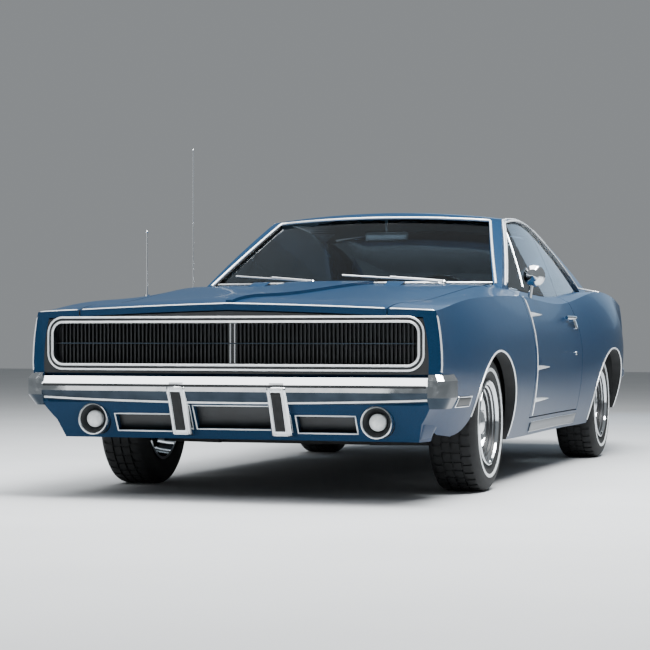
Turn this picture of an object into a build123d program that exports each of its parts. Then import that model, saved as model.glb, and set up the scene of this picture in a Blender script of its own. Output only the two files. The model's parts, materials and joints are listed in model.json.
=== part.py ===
"""Two-door fastback muscle car of about 1970, as an assembly of separate panels and running gear.

Millimetres. +X is forwards, +Y is the car's left, +Z is up.
The origin is on the ground, under the middle of the car.
"""

import os
from math import cos, radians, sin

from build123d import *

# Overall size and wheel places
HALF_LENGTH = 2640
WHEELBASE = 2900
FRONT_AXLE_X = 1590
REAR_AXLE_X = FRONT_AXLE_X - WHEELBASE
WHEEL_Y = 790
TYRE_R = 312
TYRE_HALF_WIDTH = 112
RIM_R = 196
ARCH_COLUMNS = ("x", "half_length", "rise")
FRONT_ARCH = (FRONT_AXLE_X + 15, 430, 320)
REAR_ARCH = (REAR_AXLE_X + 10, 400, 316)
ARCH_SWEEP = 155
ARCH_SWEEP_Z = 279
WHEELHOUSE_R = 372

# Walls and gaps
SIDE_WALL = 55
TOP_WALL = 26
PILLAR_WALL = 40
ROOF_WALL = 32
GLASS_DEPTH = 14
GLASS = 6
SEAM = 6
TOUCH = 0.3
RUNNING = 0.05

# Panel joints
DOOR_FRONT_X = 690
DOOR_REAR_X = -540
DOOR_HINGE_Y = 892
DOOR_HINGE_R = 42
HINGE_PILLAR = 90
QUARTER_WALL = 380
SILL_TOP_Z = 300
CABIN_WALL_Y = 757
HOOD_REAR_X = 1046
HOOD_FRONT_Y = 690
HOOD_REAR_Y = 738
HOOD_HINGE_Z = 936
HOOD_HINGE_R = 27
HOOD_PIN_R = 6
PIN_REACH = 16
LID_HINGE_R = 13
LID_SWEEP = 15
DECK_PIN_R = 5
BULGE = 14
BULGE_FRONT_Y = 14
BULGE_REAR_Y = 215
DECK_FRONT_X = -1580
DECK_HINGE_Z = 950
DECK_HALF_Y = 600
SHELF_FRONT_X = -1260
ROOF_REAR_X = -740

# Body sections from nose to tail. y_low and z_low are the lower edge, belly is the widest line,
# crest is the shoulder edge, top is where hood, belt or deck begins, and z_centre is the crown.
SECTION_COLUMNS = (
    "x", "y_low", "z_low", "y_belly", "z_belly", "y_crest", "z_crest", "y_top", "z_top", "z_centre"
)
SECTIONS = (
    (2660, 700, 284, 922, 600, 900, 806, 688, 794, 826),
    (2200, 862, 276, 945, 590, 896, 848, 702, 852, 882),
    (1590, 890, 230, 955, 590, 886, 884, 718, 904, 927),
    (1000, 882, 215, 940, 580, 870, 898, 740, 952, 965),
    (200, 870, 215, 920, 580, 855, 884, 760, 940, 965),
    (-400, 870, 215, 924, 590, 852, 880, 760, 936, 965),
    (-900, 880, 215, 956, 610, 858, 925, 750, 948, 965),
    (-1382, 900, 240, 978, 620, 864, 962, 720, 963, 967),
    (-1900, 860, 300, 930, 620, 850, 946, 650, 950, 957),
    (-2660, 770, 350, 835, 640, 800, 872, 620, 878, 890),
)
CROWN_SHARE = 0.62
NOSE_CENTRE_X = 2604
NOSE_CORNER_X = 2560
TAIL_CENTRE_X = -2580
TAIL_CORNER_X = -2530
NOSE_CORNER_Y = 960

# Glasshouse outlines at three heights: windscreen middle and corner, side middle, tail corner and middle
CABIN_COLUMNS = ("z", "x_screen", "x_pillar", "y_pillar", "y_side", "x_tail", "y_tail", "x_tail_centre")
CABIN_OUTLINES = (
    (900, 1054, 872, 796, 813, -1936, 752, -1960),
    (1130, 618, 472, 708, 729, -1346, 671, -1370),
    (1375, 120, 0, 594, 610, -600, 566, -624),
)
CABIN_SIDE_X = -300
ROOF_Z = 1368
ROOF_CROWN_X = -150
ROOF_LONG_R = 3900
ROOF_CROSS_R = 4500

# Window outlines
SCREEN_LOW_Y, SCREEN_TOP_Y = 738, 572
SCREEN_LOW_Z, SCREEN_TOP_Z, SCREEN_CROWN_Z = 950, 1302, 1322
SIDE_FRONT_LOW = (708, 935)
SIDE_FRONT_TOP = (88, 1293)
SIDE_RAIL_MID = (-380, 1309)
SIDE_RAIL_REAR = (-880, 1212)
SIDE_TAIL_MID = (-1180, 1090)
SIDE_TAIL_LOW = (-1450, 930)
BACKLIGHT_TOP = (-680, 1318)
BACKLIGHT_LOW = (-1345, 935)

# Front end
GRILLE_HALF_Y = 822
GRILLE_LOW_Z, GRILLE_TOP_Z = 586, 762
GRILLE_CORNER_R = 45
GRILLE_FACE_X = 2540
GRILLE_RIB_PITCH = 18
GRILLE_RIB_W = 5
GRILLE_RIB_DEEP = 22
SURROUND_LOW_Z = 546
SURROUND_BACK_X = 2450
BUMPER_LOW_Z, BUMPER_TOP_Z = 420, 532
BUMPER_DEEP = 62
BUMPER_HALF_Y = 955
REAR_BUMPER_HALF_Y = 832
REAR_BUMPER_SIDE_X = 2515
BUMPER_SIDE_X = 2430
BUMPER_CREASES = ((0, 30), (50, 0), (78, 0), (112, 18))
BUMPER_CAP_Y = 868
BUMPER_CAP_CREASES = ((-16, 26), (30, 0), (100, 0), (126, 16))
GUARD_Y = 225
GUARD_W = 62
GUARD_LOW_Z = 282
VALANCE_TOP_X, VALANCE_LOW_X = 2572, 2480
VALANCE_TOP_Z, VALANCE_LOW_Z = 424, 262
VALANCE_WALL = 26
LAMP_Y, LAMP_Z = 640, 345
LAMP_R = 70

# Tail, with the holes for a licence plate
TAIL_WALL_X = -2470
TAIL_FACE_X = -2558
PLATE_SPACING_Y = 177.8
PLATE_SPACING_Z = 120.6
PLATE_Z = 700
PLATE_HOLE_R = 3.2

# Mirror on the left door
MIRROR = (430, 862, 1010)
MIRROR_R = 56

# Wipers, each from its pivot to its tip, and the two aerials
WIPERS = (
    ((930, 520, 966), (885, -10, 1003)),
    ((972, -140, 970), (792, -605, 1005)),
)
AERIAL_COLUMNS = ("x", "y", "foot_z", "top_z", "radius", "base_radius")
AERIALS = (
    (1500, -815, 892, 1210, 4, 14),
    (1000, -765, 940, 1647, 3, 9),
)

# Cabin
DASH_TOP_Z, DASH_LOW_Z = 918, 660
DASH_REAR_X = 560
FIREWALL_X = 975
FIREWALL = 26
STEERING_Y = 375
STEERING_CENTRE = (345, STEERING_Y, 835)
STEERING_RAKE = 24
STEERING_R = 190
STEERING_HUB = 46
SEAT_Y = 392
SEAT_HALF_Y = 236

# Running gear
FLOOR_Z = 255
FLOOR = 30
FLOOR_COLUMNS = ("x", "rise", "shift")
FLOOR_STEPS = (
    (FIREWALL_X, 0, 0),
    (-600, 0, 1),
    (-600, 135, 1),
    (-1020, 135, 1),
    (-1020, 245, 1),
    (-1740, 245, -1),
    (-1740, 165, -1),
    (TAIL_WALL_X, 165, 0),
)
KINGPIN_Y = 650
SHAFT_Z = 312
UPPER_ARM_Z = 425
LOWER_ARM_Z = 205
ARM = 30
KINGPIN_R = 15
STEERING_ARM = 130
STEERING_ARM_Z = 262
TRACK_ROD_R = 14
SPINDLE_R = 20
APRON_Y = 455
AXLE_TUBE_R = 45
SPRING_Y = 520


def prism(points, span, axis):
    """A straight-sided solid: points across the axis, in x, y, z order, over a span along it."""
    low, high = span
    place = {
        "x": lambda a, b: Vector(low, a, b),
        "y": lambda a, b: Vector(a, low, b),
        "z": lambda a, b: Vector(a, b, low),
    }[axis]
    along = {"x": Vector(1, 0, 0), "y": Vector(0, 1, 0), "z": Vector(0, 0, 1)}[axis]
    face = Face(Wire.make_polygon([place(a, b) for a, b in points], close=True))
    return Solid.extrude(face, along * (high - low))


def block(x, y, z):
    """A box between pairs of limits."""
    size = Box(x[1] - x[0], y[1] - y[0], z[1] - z[0])
    return Pos((x[0] + x[1]) / 2, (y[0] + y[1]) / 2, (z[0] + z[1]) / 2) * size


def rod(start, end, radius):
    """A round bar between two points."""
    a, b = Vector(start), Vector(end)
    return Solid.make_cylinder(radius, (b - a).length, Plane(a, z_dir=b - a))


def across(x, z, radius, span):
    """A round bar along Y."""
    return rod((x, span[0], z), (x, span[1], z), radius)


def other_side(shape):
    return mirror(shape, about=Plane.XZ)


def body_section(row, side_wall=0, top_wall=0, drop=0):
    """One section of the body: two arcs a side, upright at the belly, and a slightly creased crown."""
    s = dict(zip(SECTION_COLUMNS, row))
    low = Vector(s["x"], s["y_low"] - side_wall, s["z_low"] - drop)
    belly = Vector(s["x"], s["y_belly"] - side_wall, s["z_belly"])
    crest = Vector(s["x"], s["y_crest"] - side_wall, s["z_crest"] - top_wall)
    top = Vector(s["x"], s["y_top"] - side_wall / 2, s["z_top"] - top_wall)
    centre = Vector(s["x"], 0, s["z_centre"] - top_wall)
    half = Vector(s["x"], top.Y / 2, top.Z + CROWN_SHARE * (centre.Z - top.Z))
    low2, belly2, crest2, top2, half2 = (Vector(p.X, -p.Y, p.Z) for p in (low, belly, crest, top, half))
    return Wire(
        [
            TangentArc(belly, low, tangent=(0, 0, -1)),
            TangentArc(belly, crest, tangent=(0, 0, 1)),
            Line(crest, top),
            ThreePointArc(top, half, centre),
            ThreePointArc(centre, half2, top2),
            Line(top2, crest2),
            TangentArc(belly2, crest2, tangent=(0, 0, 1)),
            TangentArc(belly2, low2, tangent=(0, 0, -1)),
            Line(low2, low),
        ]
    )


def cabin_outline(row, inset=0):
    """One level outline of the glasshouse, four arcs round."""
    s = dict(zip(CABIN_COLUMNS, row))
    z = s["z"]
    screen = Vector(s["x_screen"] - 2 * inset, 0, z)
    pillar = Vector(s["x_pillar"] - 2 * inset, s["y_pillar"] - inset, z)
    side = Vector(CABIN_SIDE_X, s["y_side"] - inset, z)
    tail = Vector(s["x_tail"] + 2 * inset, s["y_tail"] - inset, z)
    tail_centre = Vector(s["x_tail_centre"] + 2 * inset, 0, z)
    pillar2, side2, tail2 = (Vector(p.X, -p.Y, p.Z) for p in (pillar, side, tail))
    return Wire(
        [
            ThreePointArc(pillar2, screen, pillar),
            ThreePointArc(pillar, side, tail),
            ThreePointArc(tail, tail_centre, tail2),
            ThreePointArc(tail2, side2, pillar2),
        ]
    )


def roof_crown(drop=0):
    """The space under the roof's crown, turned about a cross axis far below the car."""
    half_y, deep, reach = 900, 900, 36
    top = ROOF_Z - drop
    edge = top - half_y**2 / (2 * ROOF_CROSS_R)
    arc = ThreePointArc(
        (ROOF_CROWN_X, -half_y, edge), (ROOF_CROWN_X, 0, top), (ROOF_CROWN_X, half_y, edge)
    )
    rest = Polyline(
        (ROOF_CROWN_X, half_y, edge),
        (ROOF_CROWN_X, half_y, top - deep),
        (ROOF_CROWN_X, -half_y, top - deep),
        (ROOF_CROWN_X, -half_y, edge),
    )
    face = Face(Wire([arc, *rest.edges()]))
    axis = Axis((ROOF_CROWN_X, 0, ROOF_Z - ROOF_LONG_R), (0, 1, 0))
    return revolve(face.rotate(axis, -reach), axis, 2 * reach)


def plan_trim():
    """The plan of nose and tail: each a shallow arc."""
    y = NOSE_CORNER_Y + 60
    edges = [
        ThreePointArc((NOSE_CORNER_X, -y, 0), (NOSE_CENTRE_X, 0, 0), (NOSE_CORNER_X, y, 0)),
        Line((NOSE_CORNER_X, y, 0), (TAIL_CORNER_X, y, 0)),
        ThreePointArc((TAIL_CORNER_X, y, 0), (TAIL_CENTRE_X, 0, 0), (TAIL_CORNER_X, -y, 0)),
        Line((TAIL_CORNER_X, -y, 0), (NOSE_CORNER_X, -y, 0)),
    ]
    return Solid.extrude(Face(Wire(edges)), Vector(0, 0, 1500))


TRIM = plan_trim()
OUTER = Solid.make_loft([body_section(row) for row in SECTIONS], False)
INNER = Solid.make_loft([body_section(row, SIDE_WALL, TOP_WALL, 150) for row in SECTIONS], False)
BODY = OUTER & TRIM
SKIN = BODY - INNER

CABIN_OUTER = Solid.make_loft([cabin_outline(row) for row in CABIN_OUTLINES], False) & roof_crown()
CABIN_INNER = (
    Solid.make_loft([cabin_outline(row, PILLAR_WALL) for row in CABIN_OUTLINES], False)
    & roof_crown(ROOF_WALL)
)
CABIN_SKIN = CABIN_OUTER - CABIN_INNER
GLASS_LAYER = Solid.make_loft(
    [cabin_outline(row, GLASS_DEPTH) for row in CABIN_OUTLINES], False
) - Solid.make_loft([cabin_outline(row, GLASS_DEPTH + GLASS) for row in CABIN_OUTLINES], False)


def outline_prism(edges, axis_vector):
    return Solid.extrude(Face(Wire(edges)), Vector(*axis_vector))


def screen_opening():
    """The windscreen's outline from the front, as a solid along X."""
    x, low_z = -30, 880
    lean = (SCREEN_LOW_Y - SCREEN_TOP_Y) / (SCREEN_TOP_Z - SCREEN_LOW_Z)
    low_y = SCREEN_LOW_Y + (SCREEN_LOW_Z - low_z) * lean
    left, right = (x, SCREEN_TOP_Y, SCREEN_TOP_Z), (x, -SCREEN_TOP_Y, SCREEN_TOP_Z)
    edges = [
        Line((x, -low_y, low_z), (x, low_y, low_z)),
        Line((x, low_y, low_z), left),
        ThreePointArc(left, (x, 0, SCREEN_CROWN_Z), right),
        Line(right, (x, -low_y, low_z)),
    ]
    return outline_prism(edges, (1200, 0, 0))


def side_opening():
    """The left side window's outline, door and quarter glass together, as a solid along Y."""
    y, low_z = 300, 870

    def point(xz):
        return (xz[0], y, xz[1])

    front_x = SIDE_FRONT_LOW[0]
    edges = [
        Line(point((front_x, low_z)), point(SIDE_FRONT_LOW)),
        Line(point(SIDE_FRONT_LOW), point(SIDE_FRONT_TOP)),
        ThreePointArc(point(SIDE_FRONT_TOP), point(SIDE_RAIL_MID), point(SIDE_RAIL_REAR)),
        ThreePointArc(point(SIDE_RAIL_REAR), point(SIDE_TAIL_MID), point(SIDE_TAIL_LOW)),
        Line(point(SIDE_TAIL_LOW), point((SIDE_TAIL_LOW[0], low_z))),
        Line(point((SIDE_TAIL_LOW[0], low_z)), point((front_x, low_z))),
    ]
    return outline_prism(edges, (0, 700, 0))


SIDE_OPENING = side_opening()
SCREEN_OPENING = screen_opening()


def door_hinge_bar(radius, low_z, high_z):
    return rod((DOOR_FRONT_X, DOOR_HINGE_Y, low_z), (DOOR_FRONT_X, DOOR_HINGE_Y, high_z), radius)


def arch(row):
    """A wheel arch: an ellipse about the hub's height, wider than it is tall."""
    x, half_length, rise = row
    side = Plane((x, WHEEL_Y - 260, TYRE_R), x_dir=(1, 0, 0), z_dir=(0, 1, 0))
    return extrude(side * Ellipse(half_length, rise), 700)


def arch_sweep():
    """The front arch's lower corner, swept forwards into the fender's lower edge."""
    x, half_length, _ = FRONT_ARCH
    y, low_z = WHEEL_Y - 260, 100
    top = (x + half_length - 6, y, TYRE_R + 50)
    end = (x + half_length + ARCH_SWEEP, y, ARCH_SWEEP_Z)
    edges = [
        TangentArc(end, top, tangent=(-1, 0, 0)),
        Line(top, (x, y, top[2])),
        Line((x, y, top[2]), (x, y, low_z)),
        Line((x, y, low_z), (end[0], y, low_z)),
        Line((end[0], y, low_z), end),
    ]
    return outline_prism(edges, (0, 700, 0))


def chin():
    """The space ahead of the valance's slope, where the fender's front edge sweeps back with it."""
    slope = (VALANCE_TOP_X - VALANCE_LOW_X) / (VALANCE_TOP_Z - 6 - VALANCE_LOW_Z)
    low_z, high_z = VALANCE_LOW_Z - 100, VALANCE_TOP_Z
    low_x = VALANCE_LOW_X - 100 * slope
    high_x = VALANCE_LOW_X + (high_z - VALANCE_LOW_Z) * slope
    return prism([(low_x, low_z), (high_x, high_z), (2800, high_z), (2800, low_z)], (0, 1100), "y")


def fender_left():
    """Front fender from the door's rounded edge to the nose, with the wheel arch."""
    hood_edge = [
        (DOOR_FRONT_X + SEAM, CABIN_WALL_Y),
        (HOOD_REAR_X, CABIN_WALL_Y),
        (HOOD_REAR_X, HOOD_REAR_Y + SEAM),
        (2700, HOOD_FRONT_Y - 4 + SEAM),
        (2700, 1100),
        (DOOR_FRONT_X + SEAM, 1100),
    ]
    panel = SKIN & prism(hood_edge, (100, 1100), "z")
    front_x = DOOR_FRONT_X + SEAM
    panel += BODY & block((front_x, front_x + HINGE_PILLAR), (CABIN_WALL_Y, 1100), (FLOOR_Z, 1100))
    panel -= door_hinge_bar(DOOR_HINGE_R + SEAM, SILL_TOP_Z, 1100)
    panel += hood_hinge_bar(HOOD_PIN_R, (HOOD_REAR_Y - PIN_REACH, CABIN_WALL_Y + 10))
    return panel - arch(FRONT_ARCH) - arch_sweep() - chin()


def hood():
    """Hood with a rounded rear edge on its hinge line and a raised centre panel."""
    outline = [
        (HOOD_REAR_X, -HOOD_REAR_Y),
        (HOOD_REAR_X, HOOD_REAR_Y),
        (2700, HOOD_FRONT_Y - 4),
        (2700, -(HOOD_FRONT_Y - 4)),
    ]
    top = SKIN & prism(outline, (740, 1100), "z")
    rear_outline = [
        (HOOD_REAR_X - HOOD_HINGE_R, -HOOD_REAR_Y),
        (HOOD_REAR_X - HOOD_HINGE_R, HOOD_REAR_Y),
        (HOOD_REAR_X, HOOD_REAR_Y),
        (HOOD_REAR_X, -HOOD_REAR_Y),
    ]
    rear_edge = SKIN & prism(rear_outline, (740, 1100), "z") & hood_hinge_bar(HOOD_HINGE_R)
    bulge = [
        (HOOD_REAR_X + 60, -BULGE_REAR_Y),
        (HOOD_REAR_X + 60, BULGE_REAR_Y),
        (2590, BULGE_FRONT_Y),
        (2590, -BULGE_FRONT_Y),
    ]
    raised = (Pos(0, 0, BULGE) * OUTER) & prism(bulge, (740, 1100), "z")
    panel = top + rear_edge + (raised & TRIM) - INNER
    return panel - pin_bores(hood_hinge_bar, HOOD_PIN_R, HOOD_REAR_Y)


def hood_hinge_bar(radius, span=(-900, 900)):
    return across(HOOD_REAR_X, HOOD_HINGE_Z, radius, span)


def deck_hinge_bar(radius, span=(-900, 900)):
    return across(DECK_FRONT_X, DECK_HINGE_Z, radius, span)


def pin_bores(hinge_bar, radius, half_y):
    """Blind holes for hinge pins in both ends of a lid."""
    deep = PIN_REACH + 1
    left = hinge_bar(radius + RUNNING, (half_y - deep, half_y + 1))
    return left + other_side(left)


def cowl():
    """Panel between hood and windscreen, cut back to the glasshouse."""
    outline = [
        (DOOR_FRONT_X + SEAM, -CABIN_WALL_Y),
        (DOOR_FRONT_X + SEAM, CABIN_WALL_Y),
        (HOOD_REAR_X - SEAM, CABIN_WALL_Y),
        (HOOD_REAR_X - SEAM, -CABIN_WALL_Y),
    ]
    panel = SKIN & prism(outline, (860, 1100), "z")
    return panel - hood_hinge_bar(HOOD_HINGE_R + SEAM) - CABIN_INNER


def door_left():
    """Door as thick as the whole wall, rounded about its hinge line at the front."""
    low_z = SILL_TOP_Z + SEAM
    region = block((DOOR_REAR_X + SEAM / 2, DOOR_FRONT_X), (CABIN_WALL_Y, 1100), (low_z, 1000))
    region += door_hinge_bar(DOOR_HINGE_R, low_z, 1000)
    return BODY & region


def door_glass_left():
    """Frameless door glass, standing on the door's top."""
    region = block((DOOR_REAR_X + SEAM / 2, 800), (0, 1100), (880, 1400))
    inner = SIDE_OPENING & (Pos(-SEAM, 0, -SEAM) * SIDE_OPENING)
    return (GLASS_LAYER & region & inner) - OUTER


def quarter_left():
    """Rear quarter with the wheel arch, and the sail that runs up to the roof."""
    outline = [
        (DOOR_REAR_X - SEAM / 2, CABIN_WALL_Y),
        (DOOR_REAR_X - SEAM / 2, 1100),
        (-2700, 1100),
        (-2700, DECK_HALF_Y + SEAM),
        (SHELF_FRONT_X, DECK_HALF_Y + SEAM),
        (SHELF_FRONT_X, CABIN_WALL_Y),
    ]
    panel = SKIN & prism(outline, (100, 1100), "z")
    wall_front = DOOR_REAR_X - SEAM / 2
    panel += BODY & block((wall_front - QUARTER_WALL, wall_front), (CABIN_WALL_Y, 1100), (FLOOR_Z, 1100))
    panel += deck_hinge_bar(DECK_PIN_R, (DECK_HALF_Y - PIN_REACH, DECK_HALF_Y + SEAM + 10))
    panel -= arch(REAR_ARCH)
    sail = CABIN_SKIN & block((-2100, ROOF_REAR_X), (DECK_HALF_Y + SEAM - 60, 1000), (880, 1400))
    lid_space = block((-2300, DECK_FRONT_X + LID_HINGE_R + SEAM), (-1000, DECK_HALF_Y + SEAM), (900, 1500))
    sail = sail - SIDE_OPENING - OUTER - lid_space
    top_x, low_x = BACKLIGHT_TOP[0], BACKLIGHT_LOW[0]
    tunnel = prism(
        [BACKLIGHT_TOP, (top_x, 1500), (-2300, 1500), (-2300, 880), (low_x, 880), BACKLIGHT_LOW],
        (-1000, DECK_HALF_Y + SEAM - 20),
        "y",
    )
    return panel + (sail - tunnel)


def quarter_window_left():
    region = block((-1600, DOOR_REAR_X - SEAM / 2), (0, 1100), (880, 1400))
    return (GLASS_LAYER & region & SIDE_OPENING) - OUTER


def roof():
    """Roof panel with both windscreen pillars."""
    panel = CABIN_SKIN & block((ROOF_REAR_X, 1200), (-900, 900), (880, 1500))
    panel = panel - SIDE_OPENING - other_side(SIDE_OPENING) - SCREEN_OPENING
    return panel - OUTER


def windshield():
    region = block((-30, 1200), (-900, 900), (880, 1500))
    return (GLASS_LAYER & SCREEN_OPENING & region) - OUTER


def back_window():
    """Flat rear glass, set deep between the sails."""
    (x0, z0), (x1, z1) = BACKLIGHT_TOP, BACKLIGHT_LOW
    plate = prism([(x0, z0), (x1, z1), (x1 + 2 * GLASS, z1), (x0 + 2 * GLASS, z0)], (-900, 900), "y")
    return (plate & CABIN_INNER) - OUTER


def rear_shelf_panel():
    """Fixed panel between back window and deck lid."""
    outline = [
        (SHELF_FRONT_X, -(DECK_HALF_Y + SEAM)),
        (SHELF_FRONT_X, DECK_HALF_Y + SEAM),
        (DECK_FRONT_X + SEAM, DECK_HALF_Y + SEAM),
        (DECK_FRONT_X + SEAM, -(DECK_HALF_Y + SEAM)),
    ]
    return (SKIN & prism(outline, (860, 1100), "z")) - deck_hinge_bar(LID_HINGE_R + LID_SWEEP)


def deck_lid():
    outline = [
        (DECK_FRONT_X, -DECK_HALF_Y),
        (DECK_FRONT_X, DECK_HALF_Y),
        (-2700, DECK_HALF_Y),
        (-2700, -DECK_HALF_Y),
    ]
    top = SKIN & prism(outline, (780, 1100), "z")
    nose_outline = [
        (DECK_FRONT_X + LID_HINGE_R, -DECK_HALF_Y),
        (DECK_FRONT_X + LID_HINGE_R, DECK_HALF_Y),
        (DECK_FRONT_X, DECK_HALF_Y),
        (DECK_FRONT_X, -DECK_HALF_Y),
    ]
    nose = SKIN & prism(nose_outline, (780, 1100), "z") & deck_hinge_bar(LID_HINGE_R)
    under = block((DECK_FRONT_X - 40, 0), (-900, 900), (780, DECK_HINGE_Z - LID_HINGE_R))
    return top + nose - under - pin_bores(deck_hinge_bar, DECK_PIN_R, DECK_HALF_Y)


def rounded_opening(half_y, low_z, high_z, radius, x_span):
    corners = [(-half_y, low_z), (half_y, low_z), (half_y, high_z), (-half_y, high_z)]
    box = prism(corners, x_span, "x")
    return fillet(box.edges().filter_by(Axis.X), radius)


def grille_surround():
    """Deep frame round the grille, closing the nose between the fenders."""
    under_hood = INNER & (Pos(0, 0, -SEAM) * INNER)
    frame = block((SURROUND_BACK_X, 2700), (-1000, 1000), (SURROUND_LOW_Z, 900)) & under_hood & TRIM
    return frame - rounded_opening(GRILLE_HALF_Y, GRILLE_LOW_Z, GRILLE_TOP_Z, GRILLE_CORNER_R, (2300, 2800))


def grille():
    """Upright ribs on a backing panel, with a middle bar and a centre divider."""
    back_x = GRILLE_FACE_X - GRILLE_RIB_DEEP
    count = int(GRILLE_HALF_Y / GRILLE_RIB_PITCH)
    comb = [(back_x - 10, -GRILLE_HALF_Y), (back_x, -GRILLE_HALF_Y)]
    for i in range(-count + 1, count):
        y = i * GRILLE_RIB_PITCH
        half = GRILLE_RIB_W * (2 if i == 0 else 0.5)
        comb += [(back_x, y - half), (GRILLE_FACE_X, y - half)]
        comb += [(GRILLE_FACE_X, y + half), (back_x, y + half)]
    comb += [(back_x, GRILLE_HALF_Y), (back_x - 10, GRILLE_HALF_Y)]
    panel = prism(comb, (GRILLE_LOW_Z, GRILLE_TOP_Z), "z")
    middle = (GRILLE_LOW_Z + GRILLE_TOP_Z) / 2
    panel += block((back_x, GRILLE_FACE_X + 4), (-GRILLE_HALF_Y, GRILLE_HALF_Y), (middle - 3, middle + 3))
    return panel & rounded_opening(GRILLE_HALF_Y, GRILLE_LOW_Z, GRILLE_TOP_Z, GRILLE_CORNER_R, (2300, 2800))


def bumper_plan(front_x, side_x, half_y, deep, inset, z):
    """A bumper's plan at one height: a shallow arc across, round corners, and ends along the sides."""
    corner, bow = 60, 45
    turn = corner * (1 - cos(radians(45)))

    def run(inset, backwards=False):
        x, y = front_x - inset, half_y - inset
        rows = [
            ((side_x, y), (x - bow - corner, y)),
            ((x - bow - corner, y), (x - bow - turn, y - turn), (x - bow, y - corner)),
            ((x - bow, y - corner), (x, 0), (x - bow, -(y - corner))),
            ((x - bow, -(y - corner)), (x - bow - turn, -(y - turn)), (x - bow - corner, -y)),
            ((x - bow - corner, -y), (side_x, -y)),
        ]
        edges = []
        for row in [points[::-1] for points in rows[::-1]] if backwards else rows:
            points = [(a, b, z) for a, b in row]
            edges.append(Line(*points) if len(points) == 2 else ThreePointArc(*points))
        return edges

    right = Line((side_x, -(half_y - inset), z), (side_x, -(half_y - deep), z))
    left = Line((side_x, half_y - deep, z), (side_x, half_y - inset, z))
    return Wire([*run(inset), right, *run(deep, True), left])


def bumper_blade(front_x, side_x, half_y, low_z, creases):
    """A blade with crisp creases: plans at a few heights, each set in by its own amount."""
    plans = []
    for rise, inset in creases:
        plans.append(bumper_plan(front_x, side_x, half_y, BUMPER_DEEP, inset, low_z + rise))
    return Solid.make_loft(plans, True)


def front_bumper():
    """Chromed blade with deeper end caps, and two guards that sweep back under the nose."""
    place = (HALF_LENGTH, BUMPER_SIDE_X, BUMPER_HALF_Y, BUMPER_LOW_Z)
    middle = block((2000, 2800), (-BUMPER_CAP_Y, BUMPER_CAP_Y), (0, 900))
    caps = bumper_blade(*place, BUMPER_CAP_CREASES) - middle
    blade = bumper_blade(*place, BUMPER_CREASES) + caps - BODY
    side = [
        (HALF_LENGTH - 4, BUMPER_LOW_Z + 60),
        (HALF_LENGTH - 4, BUMPER_TOP_Z - 24),
        (HALF_LENGTH - BUMPER_DEEP, BUMPER_TOP_Z - 24),
        (HALF_LENGTH - BUMPER_DEEP, BUMPER_LOW_Z - 20),
        (HALF_LENGTH - 138, GUARD_LOW_Z),
        (HALF_LENGTH - 86, GUARD_LOW_Z),
    ]
    for y in (GUARD_Y, -GUARD_Y):
        blade += prism(side, (y - GUARD_W / 2, y + GUARD_W / 2), "y")
    return blade


def front_valance():
    """Panel under the bumper with air slots and round lamp holes."""
    wall = VALANCE_WALL
    profile = [
        (VALANCE_TOP_X, VALANCE_TOP_Z - 6),
        (VALANCE_LOW_X, VALANCE_LOW_Z),
        (VALANCE_LOW_X - 110, VALANCE_LOW_Z),
        (VALANCE_LOW_X - 110, VALANCE_LOW_Z + wall),
        (VALANCE_LOW_X - wall, VALANCE_LOW_Z + wall),
        (VALANCE_TOP_X - wall, VALANCE_TOP_Z - 6),
        (VALANCE_TOP_X - 2 * wall, SURROUND_LOW_Z),
        (VALANCE_TOP_X - wall, SURROUND_LOW_Z),
    ]
    panel = prism(profile, (-1000, 1000), "y") & INNER
    for y in (LAMP_Y, -LAMP_Y):
        panel -= rod((2300, y, LAMP_Z), (2700, y, LAMP_Z), LAMP_R)
        inner = min(abs(y) - LAMP_R - 30, 540)
        low, high = sorted((y / abs(y) * 285, y / abs(y) * inner))
        panel -= block((2440, 2700), (low, high), (298, 366))
    panel -= block((2440, 2700), (-170, 170), (310, 405))
    return panel


def front_lamps():
    """Two round lamps in the valance, each a housing with a domed lens."""
    lamps = []
    for y in (LAMP_Y, -LAMP_Y):
        profile = [(0, 0), (LAMP_R, 0), (LAMP_R, 92), (LAMP_R - 12, 92)]
        profile += [(LAMP_R - 18, 74), (36, 86), (0, 90)]
        face = Face(Wire.make_polygon([Vector(a, 0, b) for a, b in profile], close=True))
        lamp = revolve(face, Axis.Z, 360)
        lamps.append(Pos(2470, y, LAMP_Z) * Rot(0, 90, 0) * lamp)
    return Compound(children=lamps)


def rear_bumper():
    blade = bumper_blade(HALF_LENGTH, REAR_BUMPER_SIDE_X, REAR_BUMPER_HALF_Y, BUMPER_LOW_Z - 10, BUMPER_CREASES)
    return mirror(blade, about=Plane.YZ) - BODY


def tail_panel():
    """Panel across the tail, recessed for the lamps, with the apron under the bumper."""
    profile = [
        (TAIL_WALL_X, 842),
        (TAIL_FACE_X, 842),
        (TAIL_FACE_X, 545),
        (-2524, 525),
        (-2490, 350),
        (TAIL_WALL_X, 350),
    ]
    panel = prism(profile, (-1000, 1000), "y") & INNER
    for y in (-PLATE_SPACING_Y / 2, PLATE_SPACING_Y / 2):
        for z in (PLATE_Z - PLATE_SPACING_Z / 2, PLATE_Z + PLATE_SPACING_Z / 2):
            panel -= rod((-2700, y, z), (-2530, y, z), PLATE_HOLE_R)
    return panel


def tail_lamps():
    lamps = []
    for sign in (1, -1):
        low, high = sorted((sign * 190, sign * 760))
        lamps.append(block((TAIL_FACE_X - 24, TAIL_FACE_X), (low, high), (640, 770)))
    return Compound(children=lamps)


def tunnel_hollow():
    hollow = [(-132, FLOOR_Z - 1), (-92, 402), (92, 402), (132, FLOOR_Z - 1)]
    return prism(hollow, (-1100, FIREWALL_X + FIREWALL + 1), "x")


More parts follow.
